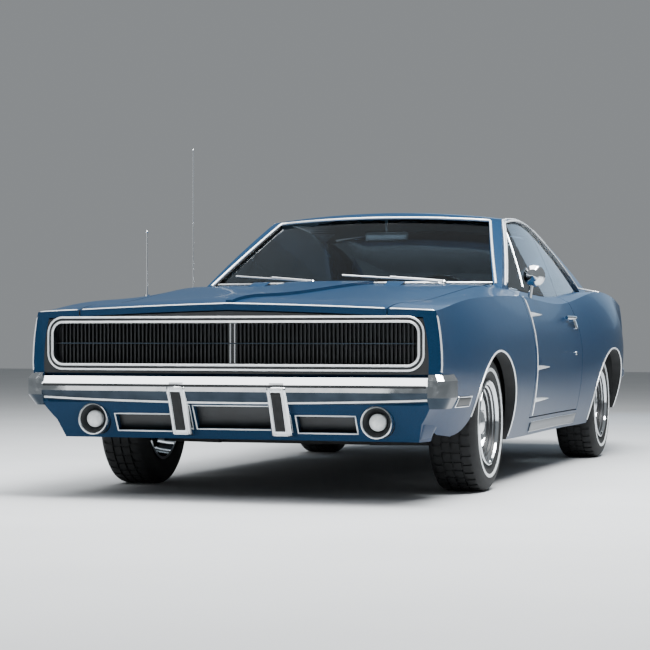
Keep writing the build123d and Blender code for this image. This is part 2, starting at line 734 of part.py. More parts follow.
def floor_pan():
    """Floor and boot floor, with the tunnel over gearbox and driveshaft."""
    under = [(x, FLOOR_Z + rise) for x, rise, shift in FLOOR_STEPS]
    over = [(x + shift * FLOOR, FLOOR_Z + rise + FLOOR) for x, rise, shift in FLOOR_STEPS]
    pan = prism(under + over[::-1], (-590, 590), "y")
    pan += block((-600, FIREWALL_X), (-CABIN_WALL_Y, CABIN_WALL_Y), (FLOOR_Z, FLOOR_Z + FLOOR))
    tunnel = [(-150, FLOOR_Z), (-105, 420), (105, 420), (150, FLOOR_Z)]
    pan += prism(tunnel, (-600, FIREWALL_X), "x")
    return pan - tunnel_hollow()


def sill_left():
    """Sill under the door, in the body's colour."""
    length = (DOOR_REAR_X - SEAM / 2, DOOR_FRONT_X + SEAM)
    return BODY & block(length, (CABIN_WALL_Y, 1000), (100, SILL_TOP_Z))


def front_structure():
    """Firewall, inner fender aprons with rails, and the radiator panel."""
    apron = [
        (APRON_Y, 300),
        (APRON_Y + 12, 300),
        (APRON_Y + 12, 690),
        (767, 782),
        (767, 1000),
        (755, 1000),
        (755, 790),
        (APRON_Y, 698),
    ]
    rail = [(APRON_Y - 60, 300), (APRON_Y, 300), (APRON_Y, 390), (APRON_Y - 60, 390)]
    front_x = 2440
    side = prism(apron, (FIREWALL_X, front_x), "x") + prism(rail, (FIREWALL_X, front_x), "x")
    kick_x = DOOR_FRONT_X + SEAM + HINGE_PILLAR
    side += block((kick_x, FIREWALL_X), (CABIN_WALL_Y, CABIN_WALL_Y + 12), (FLOOR_Z, 1100))
    wall = block((FIREWALL_X, FIREWALL_X + FIREWALL), (-1000, 1000), (FLOOR_Z, 1100)) - tunnel_hollow()
    radiator = block((front_x - 40, front_x), (-767, 767), (300, 765))
    return (side + other_side(side) + wall + radiator) & INNER


def wheelhouse_left():
    """Rear inner wheelhouse between boot floor and quarter."""
    outside = across(REAR_AXLE_X, TYRE_R, WHEELHOUSE_R + 12, (590, 1000))
    ring = outside - across(REAR_AXLE_X, TYRE_R, WHEELHOUSE_R, (602, 1100))
    return ring & INNER & block((-2000, -800), (0, 1000), (TYRE_R + AXLE_TUBE_R + 15, 1000))


def engine():
    """Plain block at the engine's place and size, with its gearbox."""
    block_shape = prism([(1150, 330), (1820, 330), (1850, 480), (1850, 770), (1150, 770)], (-290, 290), "y")
    gearbox = rod((1150, 0, SHAFT_Z), (520, 0, SHAFT_Z), 85)
    return block_shape + gearbox


def driveshaft():
    return rod((520, 0, SHAFT_Z), (REAR_AXLE_X + 190, 0, SHAFT_Z), 38)


def rear_axle():
    """Live axle with its differential and the stubs that carry the wheels."""
    reach = WHEEL_Y + 30
    tube = across(REAR_AXLE_X, TYRE_R, AXLE_TUBE_R, (-(WHEEL_Y - 62), WHEEL_Y - 62))
    tube += Pos(REAR_AXLE_X, 0, TYRE_R) * Sphere(130)
    tube += rod((REAR_AXLE_X, 0, SHAFT_Z), (REAR_AXLE_X + 190, 0, SHAFT_Z), 52)
    return tube + across(REAR_AXLE_X, TYRE_R, SPINDLE_R, (-reach, reach))


def leaf_springs():
    """One bowed leaf pack a side, under the axle, with hangers to the floor."""
    springs = []
    top = TYRE_R - AXLE_TUBE_R - TOUCH
    front, rear = (-760, 345), (-2020, 345)
    for y in (SPRING_Y, -SPRING_Y):
        side, leaf = y - 30, 26
        ends = [(x, side, z) for x, z in (front, rear)]
        low_ends = [(x, side, z - leaf) for x, z in (front, rear)]
        edges = [
            ThreePointArc(ends[0], (REAR_AXLE_X, side, top), ends[1]),
            Line(ends[1], low_ends[1]),
            ThreePointArc(low_ends[1], (REAR_AXLE_X, side, top - 40), low_ends[0]),
            Line(low_ends[0], ends[0]),
        ]
        spring = outline_prism(edges, (0, 60, 0))
        spring += block((front[0] - 30, front[0] + 30), (y - 30, y + 30), (front[1] - 40, FLOOR_Z + 135))
        spring += block((rear[0] - 30, rear[0] + 30), (y - 30, y + 30), (rear[1] - 40, FLOOR_Z + 165))
        springs.append(spring)
    return Compound(children=springs)


def exhaust():
    """Twin pipes from the engine, with mufflers, over the axle and out under the bumper."""
    pipes = []
    for side in (1, -1):
        y = side * 400
        path = FilletPolyline(
            (1260, side * 290, 470),
            (1260, side * 350, 470),
            (1180, side * 350, 215),
            (-250, y, 215),
            (-630, y, 218),
            (-980, y, 245),
            (-1180, y, 440),
            (-1600, y, 440),
            (-1800, y, 300),
            (-2600, y, 300),
            radius=50,
        )
        pipe = sweep(Plane(path @ 0, z_dir=path % 0) * Circle(28), path)
        pipes.append(pipe + rod((-640, y, 231), (-950, y, 244), 60))
    return Compound(children=pipes)


def fuel_tank():
    return fillet(block((-2380, -1840), (-340, 340), (275, FLOOR_Z + 165)).edges().filter_by(Axis.Y), 40)


def front_suspension():
    """Cross member with upper and lower arms out to the steering knuckles."""
    x = FRONT_AXLE_X
    member = block((x - 70, x + 70), (-APRON_Y + 60, APRON_Y - 60), (205, 300))
    for sign in (1, -1):
        pin = sign * KINGPIN_Y
        for z, inner_y in ((LOWER_ARM_Z, APRON_Y - 90), (UPPER_ARM_Z, APRON_Y + 12)):
            foot = sign * inner_y
            arm = prism(
                [(x - 110, foot), (x + 110, foot), (x + 32, pin), (x - 32, pin)], (z, z + ARM), "z"
            ) + rod((x, pin, z), (x, pin, z + ARM), 36)
            arm -= rod((x, pin, z - 1), (x, pin, z + ARM + 1), KINGPIN_R + RUNNING)
            member += arm
    return member


def knuckle_left():
    """Upright on its kingpin, with the wheel spindle and the steering arm."""
    x, y = FRONT_AXLE_X, KINGPIN_Y
    post = rod((x, y, LOWER_ARM_Z + ARM + 1), (x, y, UPPER_ARM_Z - 1), 34)
    post += rod((x, y, LOWER_ARM_Z), (x, y, UPPER_ARM_Z + ARM), KINGPIN_R)
    post += across(x, TYRE_R, 46, (y, y + 44)) + across(x, TYRE_R, SPINDLE_R, (y, WHEEL_Y + 30))
    end_x = x - STEERING_ARM - 20
    arm = [(x, y + 22), (x, y - 22), (end_x, y - 22), (end_x, y + 18)]
    return post + prism(arm, (STEERING_ARM_Z, STEERING_ARM_Z + 20), "z")


def steering_link():
    """Relay rod with both track rods, behind the axle."""
    x, z = FRONT_AXLE_X - STEERING_ARM, STEERING_ARM_Z - TRACK_ROD_R - TOUCH
    reach = KINGPIN_Y - 2
    return across(x, z, TRACK_ROD_R, (-reach, reach))


def wheel():
    """Steel wheel with a deep dish, five slots and a centre cap. Built about +Y at the origin."""
    profile = [
        (-100, RIM_R),
        (100, RIM_R),
        (106, RIM_R - 6),
        (106, RIM_R - 16),
        (70, RIM_R - 26),
        (44, RIM_R - 34),
        (30, 116),
        (48, 70),
        (66, 52),
        (70, 0),
        (34, 0),
        (34, SPINDLE_R + RUNNING),
        (-20, SPINDLE_R + RUNNING),
        (-20, 130),
        (10, 136),
        (20, RIM_R - 40),
        (-60, RIM_R - 18),
        (-100, RIM_R - 14),
    ]
    face = Face(Wire.make_polygon([Vector(r, y, 0) for y, r in profile], close=True))
    disc = revolve(face, Axis.Y, 360)
    for i in range(5):
        slot = Pos(0, 0, 128) * Rot(90, 0, 0) * extrude(SlotOverall(84, 26), 60, both=True)
        disc -= Rot(0, 72 * i, 0) * slot & block((-200, 200), (12, 90), (-200, 200))
    return disc


def tyre():
    """Tyre with flat sidewall facets, so that four stay light. Built about +Y at the origin."""
    w = TYRE_HALF_WIDTH
    profile = [
        (-w + 20, RIM_R),
        (-w, 262),
        (-w + 15, TYRE_R - 9),
        (-w + 34, TYRE_R),
        (w - 34, TYRE_R),
        (w - 15, TYRE_R - 9),
        (w, 262),
        (w - 20, RIM_R),
    ]
    face = Face(Wire.make_polygon([Vector(r, y, 0) for y, r in profile], close=True))
    return revolve(face, Axis.Y, 360)


def dashboard():
    """Dash with its instrument hood, and the steering column below it."""
    profile = [
        (FIREWALL_X, DASH_LOW_Z),
        (FIREWALL_X, DASH_TOP_Z - 12),
        (DASH_REAR_X + 60, DASH_TOP_Z),
        (DASH_REAR_X, DASH_TOP_Z - 40),
        (DASH_REAR_X + 50, DASH_LOW_Z + 90),
        (DASH_REAR_X + 130, DASH_LOW_Z),
    ]
    dash = prism(profile, (-700, 700), "y")
    x, y, z = STEERING_CENTRE
    back = Vector(cos(radians(STEERING_RAKE)), 0, -sin(radians(STEERING_RAKE)))
    start = Vector(x, y, z) + back * (STEERING_HUB + TOUCH)
    return dash + rod(start, start + back * 330, 30)


def steering_wheel():
    """Three-spoke wheel on its column's axis."""
    x, y, z = STEERING_CENTRE
    rake = radians(STEERING_RAKE)
    spin = Plane((x, y, z), x_dir=(0, 1, 0), z_dir=(-cos(rake), 0, sin(rake)))
    rim = Torus(STEERING_R, 13)
    hub = Pos(0, 0, 3 - STEERING_HUB / 2) * Cylinder(42, STEERING_HUB + 6)
    for angle in (90, 210, 330):
        hub += Rot(0, 0, angle) * Pos(STEERING_R / 2, 0, -6) * Box(STEERING_R - 4, 26, 7)
    return spin.location * (rim + hub)


def front_seats():
    """Two bucket seats, each cushion and back in one piece."""
    profile = [
        (270, FLOOR_Z + FLOOR),
        (290, 440),
        (250, 480),
        (-190, 440),
        (-330, 900),
        (-370, 930),
        (-420, 920),
        (-340, 430),
        (-300, FLOOR_Z + FLOOR),
    ]
    seats = [prism(profile, (y - SEAT_HALF_Y, y + SEAT_HALF_Y), "y") for y in (SEAT_Y, -SEAT_Y)]
    return Compound(children=seats)


def rear_seat():
    top = FLOOR_Z + 135 + FLOOR
    profile = [
        (-590, top),
        (-570, 500),
        (-620, 530),
        (-880, 500),
        (-1010, 880),
        (-1080, 880),
        (-1050, 545),
        (-985, 535),
        (-985, top),
    ]
    return prism(profile, (-560, 560), "y")


def wipers():
    """Two wiper arms with blades, lying at the foot of the windscreen."""
    arms = []
    for foot, tip in WIPERS:
        x, y, z = foot
        arms.append((rod(foot, tip, 6) + rod((x, y, z - 27), (x, y, z + 12), 14)) - OUTER)
    return Compound(children=arms)


def aerials():
    """Short mast on a domed base and a long whip, both on the right front fender."""
    masts = []
    for row in AERIALS:
        x, y, foot, top, radius, base = row
        mast = rod((x, y, foot), (x, y, top), radius) + rod((x, y, foot - 20), (x, y, foot + base), base)
        masts.append((mast + Pos(x, y, top) * Sphere(radius * 1.6)) - OUTER)
    return Compound(children=masts)


def door_mirror():
    """Round mirror head on a short foot, on the left door."""
    x, y, z = MIRROR
    profile = [(-20, 0), (-20, MIRROR_R - 6), (-14, MIRROR_R)]
    profile += [(8, MIRROR_R - 4), (30, MIRROR_R - 24), (36, 0)]
    face = Face(Wire.make_polygon([Vector(a, r, 0) for a, r in profile], close=True))
    foot = rod((x, y - 24, z - 130), (x, y - 8, z - 20), 11)
    return (foot + Pos(x, y, z) * revolve(face, Axis.X, 360)) - OUTER


def cabin_mirror():
    """Inside mirror on a stalk from the roof's header."""
    head = block((90, 112), (-118, 118), (1205, 1262))
    return (head + rod((100, 0, 1250), (112, 0, 1400), 7)) & CABIN_INNER


def export(name, shape):
    export_step(shape, os.path.join("parts", name + ".step"))


def main():
    os.makedirs("parts", exist_ok=True)
    left_right = {
        "fender": fender_left(),
        "door": door_left(),
        "door_glass": door_glass_left(),
        "quarter": quarter_left(),
        "knuckle": knuckle_left(),
    }
    for name, shape in left_right.items():
        export(name + "_left", shape)
        export(name + "_right", other_side(shape))
    quarter_window = quarter_window_left()
    wheelhouse = wheelhouse_left()
    sill = sill_left()
    singles = {
        "hood": hood(),
        "cowl": cowl(),
        "roof": roof(),
        "windshield": windshield(),
        "back_window": back_window(),
        "quarter_windows": Compound(children=[quarter_window, other_side(quarter_window)]),
        "rear_shelf_panel": rear_shelf_panel(),
        "deck_lid": deck_lid(),
        "tail_panel": tail_panel(),
        "tail_lamps": tail_lamps(),
        "rear_bumper": rear_bumper(),
        "grille_surround": grille_surround(),
        "grille": grille(),
        "front_bumper": front_bumper(),
        "front_valance": front_valance(),
        "front_lamps": front_lamps(),
        "floor_pan": floor_pan(),
        "sills": Compound(children=[sill, other_side(sill)]),
        "front_structure": front_structure(),
        "rear_wheelhouses": Compound(children=[wheelhouse, other_side(wheelhouse)]),
        "engine": engine(),
        "driveshaft": driveshaft(),
        "rear_axle": rear_axle(),
        "leaf_springs": leaf_springs(),
        "exhaust": exhaust(),
        "fuel_tank": fuel_tank(),
        "front_suspension": front_suspension(),
        "steering_link": steering_link(),
        "dashboard": dashboard(),
        "steering_wheel": steering_wheel(),
        "front_seats": front_seats(),
        "rear_seat": rear_seat(),
        "wipers": wipers(),
        "aerials": aerials(),
        "door_mirror": door_mirror(),
        "cabin_mirror": cabin_mirror(),
    }
    for name, shape in singles.items():
        export(name, shape)
    rim, rubber = wheel(), tyre()
    for end, x in (("front", FRONT_AXLE_X), ("rear", REAR_AXLE_X)):
        place = Pos(x, WHEEL_Y, TYRE_R)
        for kind, shape in (("wheel", rim), ("tyre", rubber)):
            export(f"{kind}_{end}_left", place * shape)
            export(f"{kind}_{end}_right", other_side(place * shape))


main()
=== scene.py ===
# %% [markdown]
# A two-door fastback muscle car of about 1970, dressed over its CAD frame. The CAD solids give every
# size, place and hinge. This lesson adds what a body shop, a plater and a trimmer would add: paint,
# chrome, glass, rubber and stitched seats, with the fine trim modelled piece by piece.

# %% Load the frame
import json
from math import atan2, cos, hypot, pi, radians, sin

import bmesh
import bpy
from mathutils import Matrix, Vector
from mathutils.bvhtree import BVHTree


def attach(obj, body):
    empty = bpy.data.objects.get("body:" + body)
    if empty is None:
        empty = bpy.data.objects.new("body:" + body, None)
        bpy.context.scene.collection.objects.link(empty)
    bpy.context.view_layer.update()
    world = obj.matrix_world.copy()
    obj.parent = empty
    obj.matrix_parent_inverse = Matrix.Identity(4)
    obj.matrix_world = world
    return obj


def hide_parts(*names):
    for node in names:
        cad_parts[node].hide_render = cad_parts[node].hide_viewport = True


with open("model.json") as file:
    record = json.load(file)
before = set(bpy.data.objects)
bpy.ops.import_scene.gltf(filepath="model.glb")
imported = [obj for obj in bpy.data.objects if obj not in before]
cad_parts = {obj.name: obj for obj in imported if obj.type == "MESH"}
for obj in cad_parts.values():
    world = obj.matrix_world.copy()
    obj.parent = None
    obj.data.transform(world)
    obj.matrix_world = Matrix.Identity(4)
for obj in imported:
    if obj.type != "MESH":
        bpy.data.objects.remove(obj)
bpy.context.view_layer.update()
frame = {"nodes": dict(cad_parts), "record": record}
nodes = frame["nodes"]
node_slot = {row["node"]: row["material_slot"] for row in frame["record"]["subparts"]}
node_body = {n: body for body, members in frame["record"]["behaviour"]["bodies"].items() for n in members}
SIDES = (("left", 1), ("right", -1))

# %% [markdown]
# The camera comes first, because everything is judged through it. The photo's frame is square, and the
# viewer stands low, about eleven metres ahead and a little to the car's left. A long lens keeps the nose
# and the tail in proportion. The shift sets the car left of the middle.

# %% Camera
CAMERA_PLACE = (11.098, 3.064, 0.709)
CAMERA_YAW, CAMERA_PITCH = 0.344, 0.004
camera_data = bpy.data.cameras.new("photo camera")
camera = bpy.data.objects.new("photo camera", camera_data)
bpy.context.scene.collection.objects.link(camera)
camera.location = CAMERA_PLACE
level = cos(CAMERA_PITCH)
ahead = Vector((-cos(CAMERA_YAW) * level, -sin(CAMERA_YAW) * level, sin(CAMERA_PITCH)))
camera.rotation_euler = ahead.to_track_quat("-Z", "Y").to_euler()
camera_data.sensor_width = 36.0
camera_data.lens = 118.1
camera_data.shift_x = 0.1425
camera_data.shift_y = 0.0025
bpy.context.scene.camera = camera
print("camera lens", camera_data.lens, "mm")

# %% [markdown]
# Colours are written as sRGB hex values, as a paint chart gives them, and turned to linear light once.
# One small function adds a shader node with its settings and links. A second one makes a finish: the
# values that hold all over the surface, a colour that wanders in patches, and a relief where the real one
# has a grain.

# %% Colour and node helpers
MOTTLE_SPAN = (0.35, 0.65)
GRAIN_STRENGTH = 0.6


def linear(hex_colour):
    channels = [int(hex_colour[i : i + 2], 16) / 255 for i in (1, 3, 5)]
    return [c / 12.92 if c <= 0.04045 else ((c + 0.055) / 1.055) ** 2.4 for c in channels] + [1.0]


def add_node(material, kind, **sockets):
    tree = material.node_tree
    node = tree.nodes.new(kind)
    for name, value in sockets.items():
        socket = node.inputs[name.replace("_", " ")]
        if isinstance(value, bpy.types.NodeSocket):
            tree.links.new(value, socket)
        else:
            socket.default_value = value
    return node


def shader_input(material, socket):
    return material.node_tree.nodes["Principled BSDF"].inputs[socket]


def mottle(material, socket, patch_mm, low, high):
    """Let a socket wander between two colours or two values, in patches of a real size."""
    place = add_node(material, "ShaderNodeTexCoord")
    noise = add_node(material, "ShaderNodeTexNoise", Vector=place.outputs["Object"], Scale=1000 / patch_mm)
    if isinstance(low, str):
        ramp = add_node(material, "ShaderNodeValToRGB", Fac=noise.outputs["Fac"])
        for element, spot, colour in zip(ramp.color_ramp.elements, MOTTLE_SPAN, (low, high)):
            element.position = spot
            element.color = linear(colour)
        result = ramp.outputs["Color"]
    else:
        spread = dict(zip(("From_Min", "From_Max", "To_Min", "To_Max"), (*MOTTLE_SPAN, low, high)))
        levels = add_node(material, "ShaderNodeMapRange", Value=noise.outputs["Fac"], **spread)
        result = levels.outputs["Result"]
    material.node_tree.links.new(result, shader_input(material, socket))


def grain(material, size_mm, depth_mm, kind="ShaderNodeTexNoise"):
    """Raise a fine relief of a real grain size and depth."""
    place = add_node(material, "ShaderNodeTexCoord")
    relief = add_node(material, kind, Vector=place.outputs["Object"], Scale=1000 / size_mm)
    height = relief.outputs["Distance" if kind == "ShaderNodeTexVoronoi" else "Fac"]
    depth = depth_mm / 1000
    bump = add_node(material, "ShaderNodeBump", Height=height, Strength=GRAIN_STRENGTH, Distance=depth)
    material.node_tree.links.new(bump.outputs["Normal"], shader_input(material, "Normal"))


def new_finish(name, metallic, roughness, colours=None, relief=None, **sockets):
    """A finish; colours are (patch in mm, hex, hex) and relief is (grain in mm, depth in mm, kind)."""
    material = bpy.data.materials.new(name)
    material.use_nodes = True
    for socket, value in {"Metallic": metallic, "Roughness": roughness, **sockets}.items():
        shader_input(material, socket.replace("_", " ")).default_value = value
    if colours:
        mottle(material, "Base Color", *colours)
    if relief:
        grain(material, *relief)
    return material


# %% [markdown]
# The paint is a dark blue metallic enamel under clear lacquer. Aluminium flake lies in the colour coat,
# so it brightens where it faces the light, and the lacquer on top gives the sharp reflections. The flake
# is really about 0.05 mm across and wouldn't show, so it is drawn 2.5 mm wide.

# %% Paint
# gives the eye: deep blue in the shade, pale blue where the sky lies on it, and a crisp gloss
lacquer = {"Coat_Weight": 0.10, "Coat_Roughness": 0.03, "Specular_IOR_Level": 0.08}
lacquer["Specular_Tint"] = linear("#6f97bd")
flake = (2.5, "#10283f", "#17344f")
blue_enamel = new_finish("metallic blue enamel", 0.15, 0.30, flake, (9.0, 0.012), **lacquer)
# gives the eye: a near-black tone with a dull sheen, as chassis black brushed on and dusty
chassis_black = new_finish("chassis black", 0.0, 0.6, (60.0, "#0f1113", "#1c1d1e"), (4.0, 0.15))
# gives the eye: a cast block under thick enamel, softly pitted
slate = (45.0, "#22303d", "#2d3d4b")
engine_enamel = new_finish("engine enamel on cast iron", 0.0, 0.42, slate, (3.0, 0.3))
print("paints:", blue_enamel.name, chassis_black.name, engine_enamel.name)

# %% [markdown]
# Bright work: chrome is a mirror with a hint of polishing haze. The undersides of the bumpers are painted
# darker and duller, as painted shade under them. Exhaust pipe is aluminised steel, greyer and brushed by
# heat.

# %% Bright metals
# gives the eye: a clean mirror edge round the nose, the glass and the wheels
chrome = new_finish("polished chrome plate", 1.0, 0.06, Base_Color=linear("#dfe3e6"))
mottle(chrome, "Roughness", 35.0, 0.03, 0.09)
# gives the eye: dark, dull chrome; on the bumpers' undersides it is painted shade, standing in for the
# shade under them
dull_chrome = new_finish("dull chrome with painted shade", 1.0, 0.28, (90.0, "#2b333b", "#353e47"))
# gives the eye: the softer white line of rolled stainless trim
bright_trim = new_finish("rolled stainless trim", 0.6, 0.32, (30.0, "#e3e7ea", "#f0f3f4"))
# gives the eye: warm grey pipe with cloudy patches
exhaust_steel = new_finish("aluminised steel", 1.0, 0.4, (30.0, "#8d8a86", "#6b6660"))
# gives the eye: a flat silvered glass
mirror_glass = new_finish("silvered mirror glass", 1.0, 0.02, (20.0, "#c9d2d8", "#d4dbe0"))
print("metals:", chrome.name, dull_chrome.name, exhaust_steel.name)

# %% [markdown]
# Glass, lenses and the dark materials. Window glass is a grey tint with a faint dust film. Lamp lenses
# are pressed glass with fine flutes. Rubber, vinyl and moulded plastic are all near black, and only their
# grain and sheen tell them apart, so each has its own grain size.

# %% Glass, rubber and trim
CELLS = "ShaderNodeTexVoronoi"
# gives the eye: dark windows that still let the seats show
dust = (160.0, "#8b99a3", "#96a4ad")
tinted_glass = new_finish("grey tinted glass", 0.0, 0.02, dust, Transmission_Weight=1.0, IOR=1.3)
# gives the eye: bright pressed glass, broken up by flutes 5 mm apart
flutes = (5.0, 0.5, CELLS)
clear = {"Transmission_Weight": 0.15, "IOR": 1.5}
lamp_glass = new_finish("pressed lamp glass", 0.0, 0.08, (12.0, "#e3e8ea", "#f4f6f6"), flutes, **clear)
# gives the eye: deep red moulded lens with small prisms
ruby = (10.0, "#7c0407", "#9d070b")
prisms = (5.0, 0.25, CELLS)
red_lens = new_finish("red moulded lens", 0.0, 0.20, ruby, prisms, Specular_IOR_Level=0.2)
# gives the eye: satin black with the fine stipple of a moulding
black_plastic = new_finish("satin black moulding", 0.0, 0.45, (80.0, "#0b0e11", "#14181c"), (1.2, 0.05))
# gives the eye: soft black with a leathery grain and a slight sheen
dye = (50.0, "#131518", "#1d2024")
hide = (2.2, 0.12, CELLS)
black_vinyl = new_finish("grained black vinyl", 0.0, 0.48, dye, hide, Sheen_Weight=0.15)
# gives the eye: dull charcoal, a little dusty
tyre_rubber = new_finish("tyre rubber", 0.0, 0.78, (25.0, "#08090b", "#121416"), (1.5, 0.08))
# gives the eye: the off-white stripe moulded into the sidewall
white_rubber = new_finish("white stripe rubber", 0.0, 0.6, (18.0, "#c9cfd2", "#e6eaeb"))
# gives the eye: looped black carpet
loops = (3.5, 1.0, CELLS)
carpet = new_finish("loop pile carpet", 0.0, 0.95, (6.0, "#0e1013", "#1b1e22"), loops, Sheen_Weight=0.3)
SLOT_FINISH = {
    "body_paint": blue_enamel,
    "chrome": chrome,
    "glass": tinted_glass,
    "black_trim": black_plastic,
    "lamp_lens": lamp_glass,
    "tail_lens": red_lens,
    "under_paint": chassis_black,
    "engine_paint": engine_enamel,
    "exhaust_steel": exhaust_steel,
    "seat_vinyl": black_vinyl,
    "tyre": tyre_rubber,
    "wheel_chrome": chrome,
}
# the slot that a new piece of each finish takes, where its maker names no other
usual_slot = {finish.name: slot for slot, finish in SLOT_FINISH.items()}
usual_slot[white_rubber.name] = "tyre"
for trim in (chrome, dull_chrome, bright_trim, mirror_glass):
    usual_slot[trim.name] = "chrome"
print("finishes:", len(bpy.data.materials))

# %% [markdown]
# A few habits of the modelling room come next: take one object alone, pick its faces by their place,
# start from a block, and settle a finished piece on the body that carries it. A CAD mesh is loose
# triangles, so a panel is dressed as a merged copy, smoothed across its gentle curves and kept crisp at
# its edges.

# %% Modelling helpers
PANEL_CREASE, BLADE_CREASE = 30, 14
MERGE_NEAR = 0.00002


def alone(piece):
    bpy.ops.object.select_all(action="DESELECT")
    piece.select_set(True)
    bpy.context.view_layer.objects.active = piece


def pick_faces(piece, wanted):
    """In edit mode, select the faces whose middle and normal are wanted."""
    bpy.ops.mesh.select_all(action="DESELECT")
    mesh = bmesh.from_edit_mesh(piece.data)
    for face in mesh.faces:
        face.select_set(wanted(face.calc_center_median(), face.normal))
    bmesh.update_edit_mesh(piece.data)


def open_mesh(piece, wanted=None):
    """Go into edit mode, with the wanted faces selected, or else with all."""
    alone(piece)
    bpy.ops.object.mode_set(mode="EDIT")
    bpy.ops.mesh.select_mode(type="FACE")
    if wanted:
        pick_faces(piece, wanted)
    else:
        bpy.ops.mesh.select_all(action="SELECT")


def close_mesh():
    bpy.ops.object.mode_set(mode="OBJECT")


def face_outwards(piece):
    open_mesh(piece)
    bpy.ops.mesh.normals_make_consistent(inside=False)
    close_mesh()


def apply_modifier(piece, kind, **settings):
    alone(piece)
    modifier = piece.modifiers.new(kind.lower(), kind)
    for name, value in settings.items():
        setattr(modifier, name, value)
    bpy.ops.object.modifier_apply(modifier=modifier.name)


def block(size, place=(0, 0, 0)):
    """A box at its size and place, to be shaped further."""
    bpy.ops.object.select_all(action="DESELECT")
    bpy.ops.mesh.primitive_cube_add(size=1, location=place)
    piece = bpy.context.active_object
    piece.scale = size
    bpy.ops.object.transform_apply(location=True, rotation=True, scale=True)
    return piece


def settle(piece, name, finish, body="chassis", stands_for=(), angle=PANEL_CREASE):
    """Finish a piece: place into its mesh, smooth shading, material, and the body that carries it."""
    alone(piece)
    piece.name = name
    bpy.ops.object.transform_apply(location=True, rotation=True, scale=True)
    bpy.ops.object.shade_smooth_by_angle(angle=radians(angle))
    if finish:
        piece.data.materials.clear()
        piece.data.materials.append(finish)
    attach(piece, body)
    if stands_for:
        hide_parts(*stands_for)
    return piece


def copied(piece):
    copy = piece.copy()
    copy.data = piece.data.copy()
    bpy.context.scene.collection.objects.link(copy)
    return copy


def dressed_copy(node):
    """A merged, smooth copy of a CAD node, in its slot's finish."""
    copy = copied(nodes[node])
    copy.parent = None
    for key in [k for k in copy.keys() if k.startswith("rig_")]:
        del copy[key]
    open_mesh(copy)
    bpy.ops.mesh.remove_doubles(threshold=MERGE_NEAR)
    bpy.ops.mesh.customdata_custom_splitnormals_clear()
    close_mesh()
    slot = node_slot[node]
    crease = BLADE_CREASE if node.endswith("bumper") else PANEL_CREASE
    return settle(copy, node + "_dressed", SLOT_FINISH[slot], node_body[node], (node,), crease)


bpy.ops.object.select_all(action="DESELECT")
OWN_MODELS = ("tyre_", "wheel_", "front_lamps", "front_seats", "rear_seat", "steering_wheel", "wipers")
OWN_MODELS += ("cabin_mirror",)
dressed = {name: dressed_copy(name) for name in nodes if not name.startswith(OWN_MODELS)}
print("dressed panels and parts:", len(dressed))

# %% [markdown]
# A pressed panel has two sides. The cabin side of roof, doors and quarters is trimmed with vinyl, the
# floor is carpeted, the wheel arches are black, and the bumper's lower slope is painted darker, as painted
# shade under it. Each is a second material slot on the panel's own faces, picked by where they lie and
# which way they face.

# %% Trimmed inner faces
CABIN_WALL_Y = 0.757
HEADLINING_Y, HEADLINING_TOP_Z = 0.70, 1.28
CARPET_REAR_X, TUNNEL_LOW_Z = -1.03, 0.29
ARCHES = {"fender": (1.605, 0.430, 0.320), "quarter": (-1.300, 0.400, 0.316)}
HUB_Z = 0.312


def line_faces(node, finish, wanted):
    piece = dressed[node]
    piece.data.materials.append(finish)
    index = len(piece.data.materials) - 1
    count = 0
    for face in piece.data.polygons:
        if wanted(face.center, face.normal):
            face.material_index = index
            count += 1
    print(node, "has", count, "faces in", finish.name)


def headlining(p, n):
    return n.z < -0.25 or (abs(p.y) < HEADLINING_Y and n.y * p.y < 0 and p.z < HEADLINING_TOP_Z)


def carpeted(p, n):
    return (n.z > 0.3 and p.x > CARPET_REAR_X) or (abs(n.y) > 0.5 and p.z > TUNNEL_LOW_Z and p.x > -1)


def window_flange(p, n):
    """Tell the edge of a side window's opening, which is cut straight across the car."""
    return abs(n.y) < 0.05 and abs(p.y) > 0.55 and n.z < -0.05 and p.z > 0.94 and p.x > -1.47


def under_arch(panel, sign):
    """Tell the faces in a wheel arch, and those turned to the inside, from the painted skin."""
    x, half_length, rise = ARCHES[panel]

    def wanted(p, n):
        in_arch = ((p.x - x) / half_length) ** 2 + ((p.z - HUB_Z) / rise) ** 2 < 1.01
        return in_arch or (n.y * sign < -0.3 and p.z < 0.86)

    return wanted


line_faces("roof", black_vinyl, headlining)
line_faces("floor_pan", carpet, carpeted)
line_faces("roof", bright_trim, window_flange)
for side, sign in SIDES:
    fender, quarter, door = "fender_" + side, "quarter_" + side, "door_" + side
    line_faces(door, black_vinyl, lambda p, n: n.y * sign < -0.7 and p.y * sign < CABIN_WALL_Y + 0.01)
    line_faces(quarter, black_vinyl, lambda p, n: n.y * sign < -0.3 and p.x > -1.25 and p.z < 1.3)
    line_faces(quarter, bright_trim, window_flange)
    line_faces(fender, chassis_black, under_arch("fender", sign))
    line_faces(quarter, chassis_black, under_arch("quarter", sign))
# painted shade: the bumpers' downward faces take the darker, duller chrome in place of the shade under them
for node in ("front_bumper", "rear_bumper"):
    line_faces(node, dull_chrome, lambda p, n: n.z < -0.3)

# %% [markdown]
# Round pieces are turned, as on a lathe: one vertex is pushed along a profile by extruding, and the
# profile is spun about an axis. A screw modifier would do the same, but spinning leaves plain faces to
# pick and cut.

# %% The lathe
RADIAL = {"X": Vector((0, 0, 1)), "Y": Vector((1, 0, 0)), "Z": Vector((1, 0, 0))}
ALONG = {"X": Vector((1, 0, 0)), "Y": Vector((0, 1, 0)), "Z": Vector((0, 0, 1))}
SEAM_NEAR = 0.00001


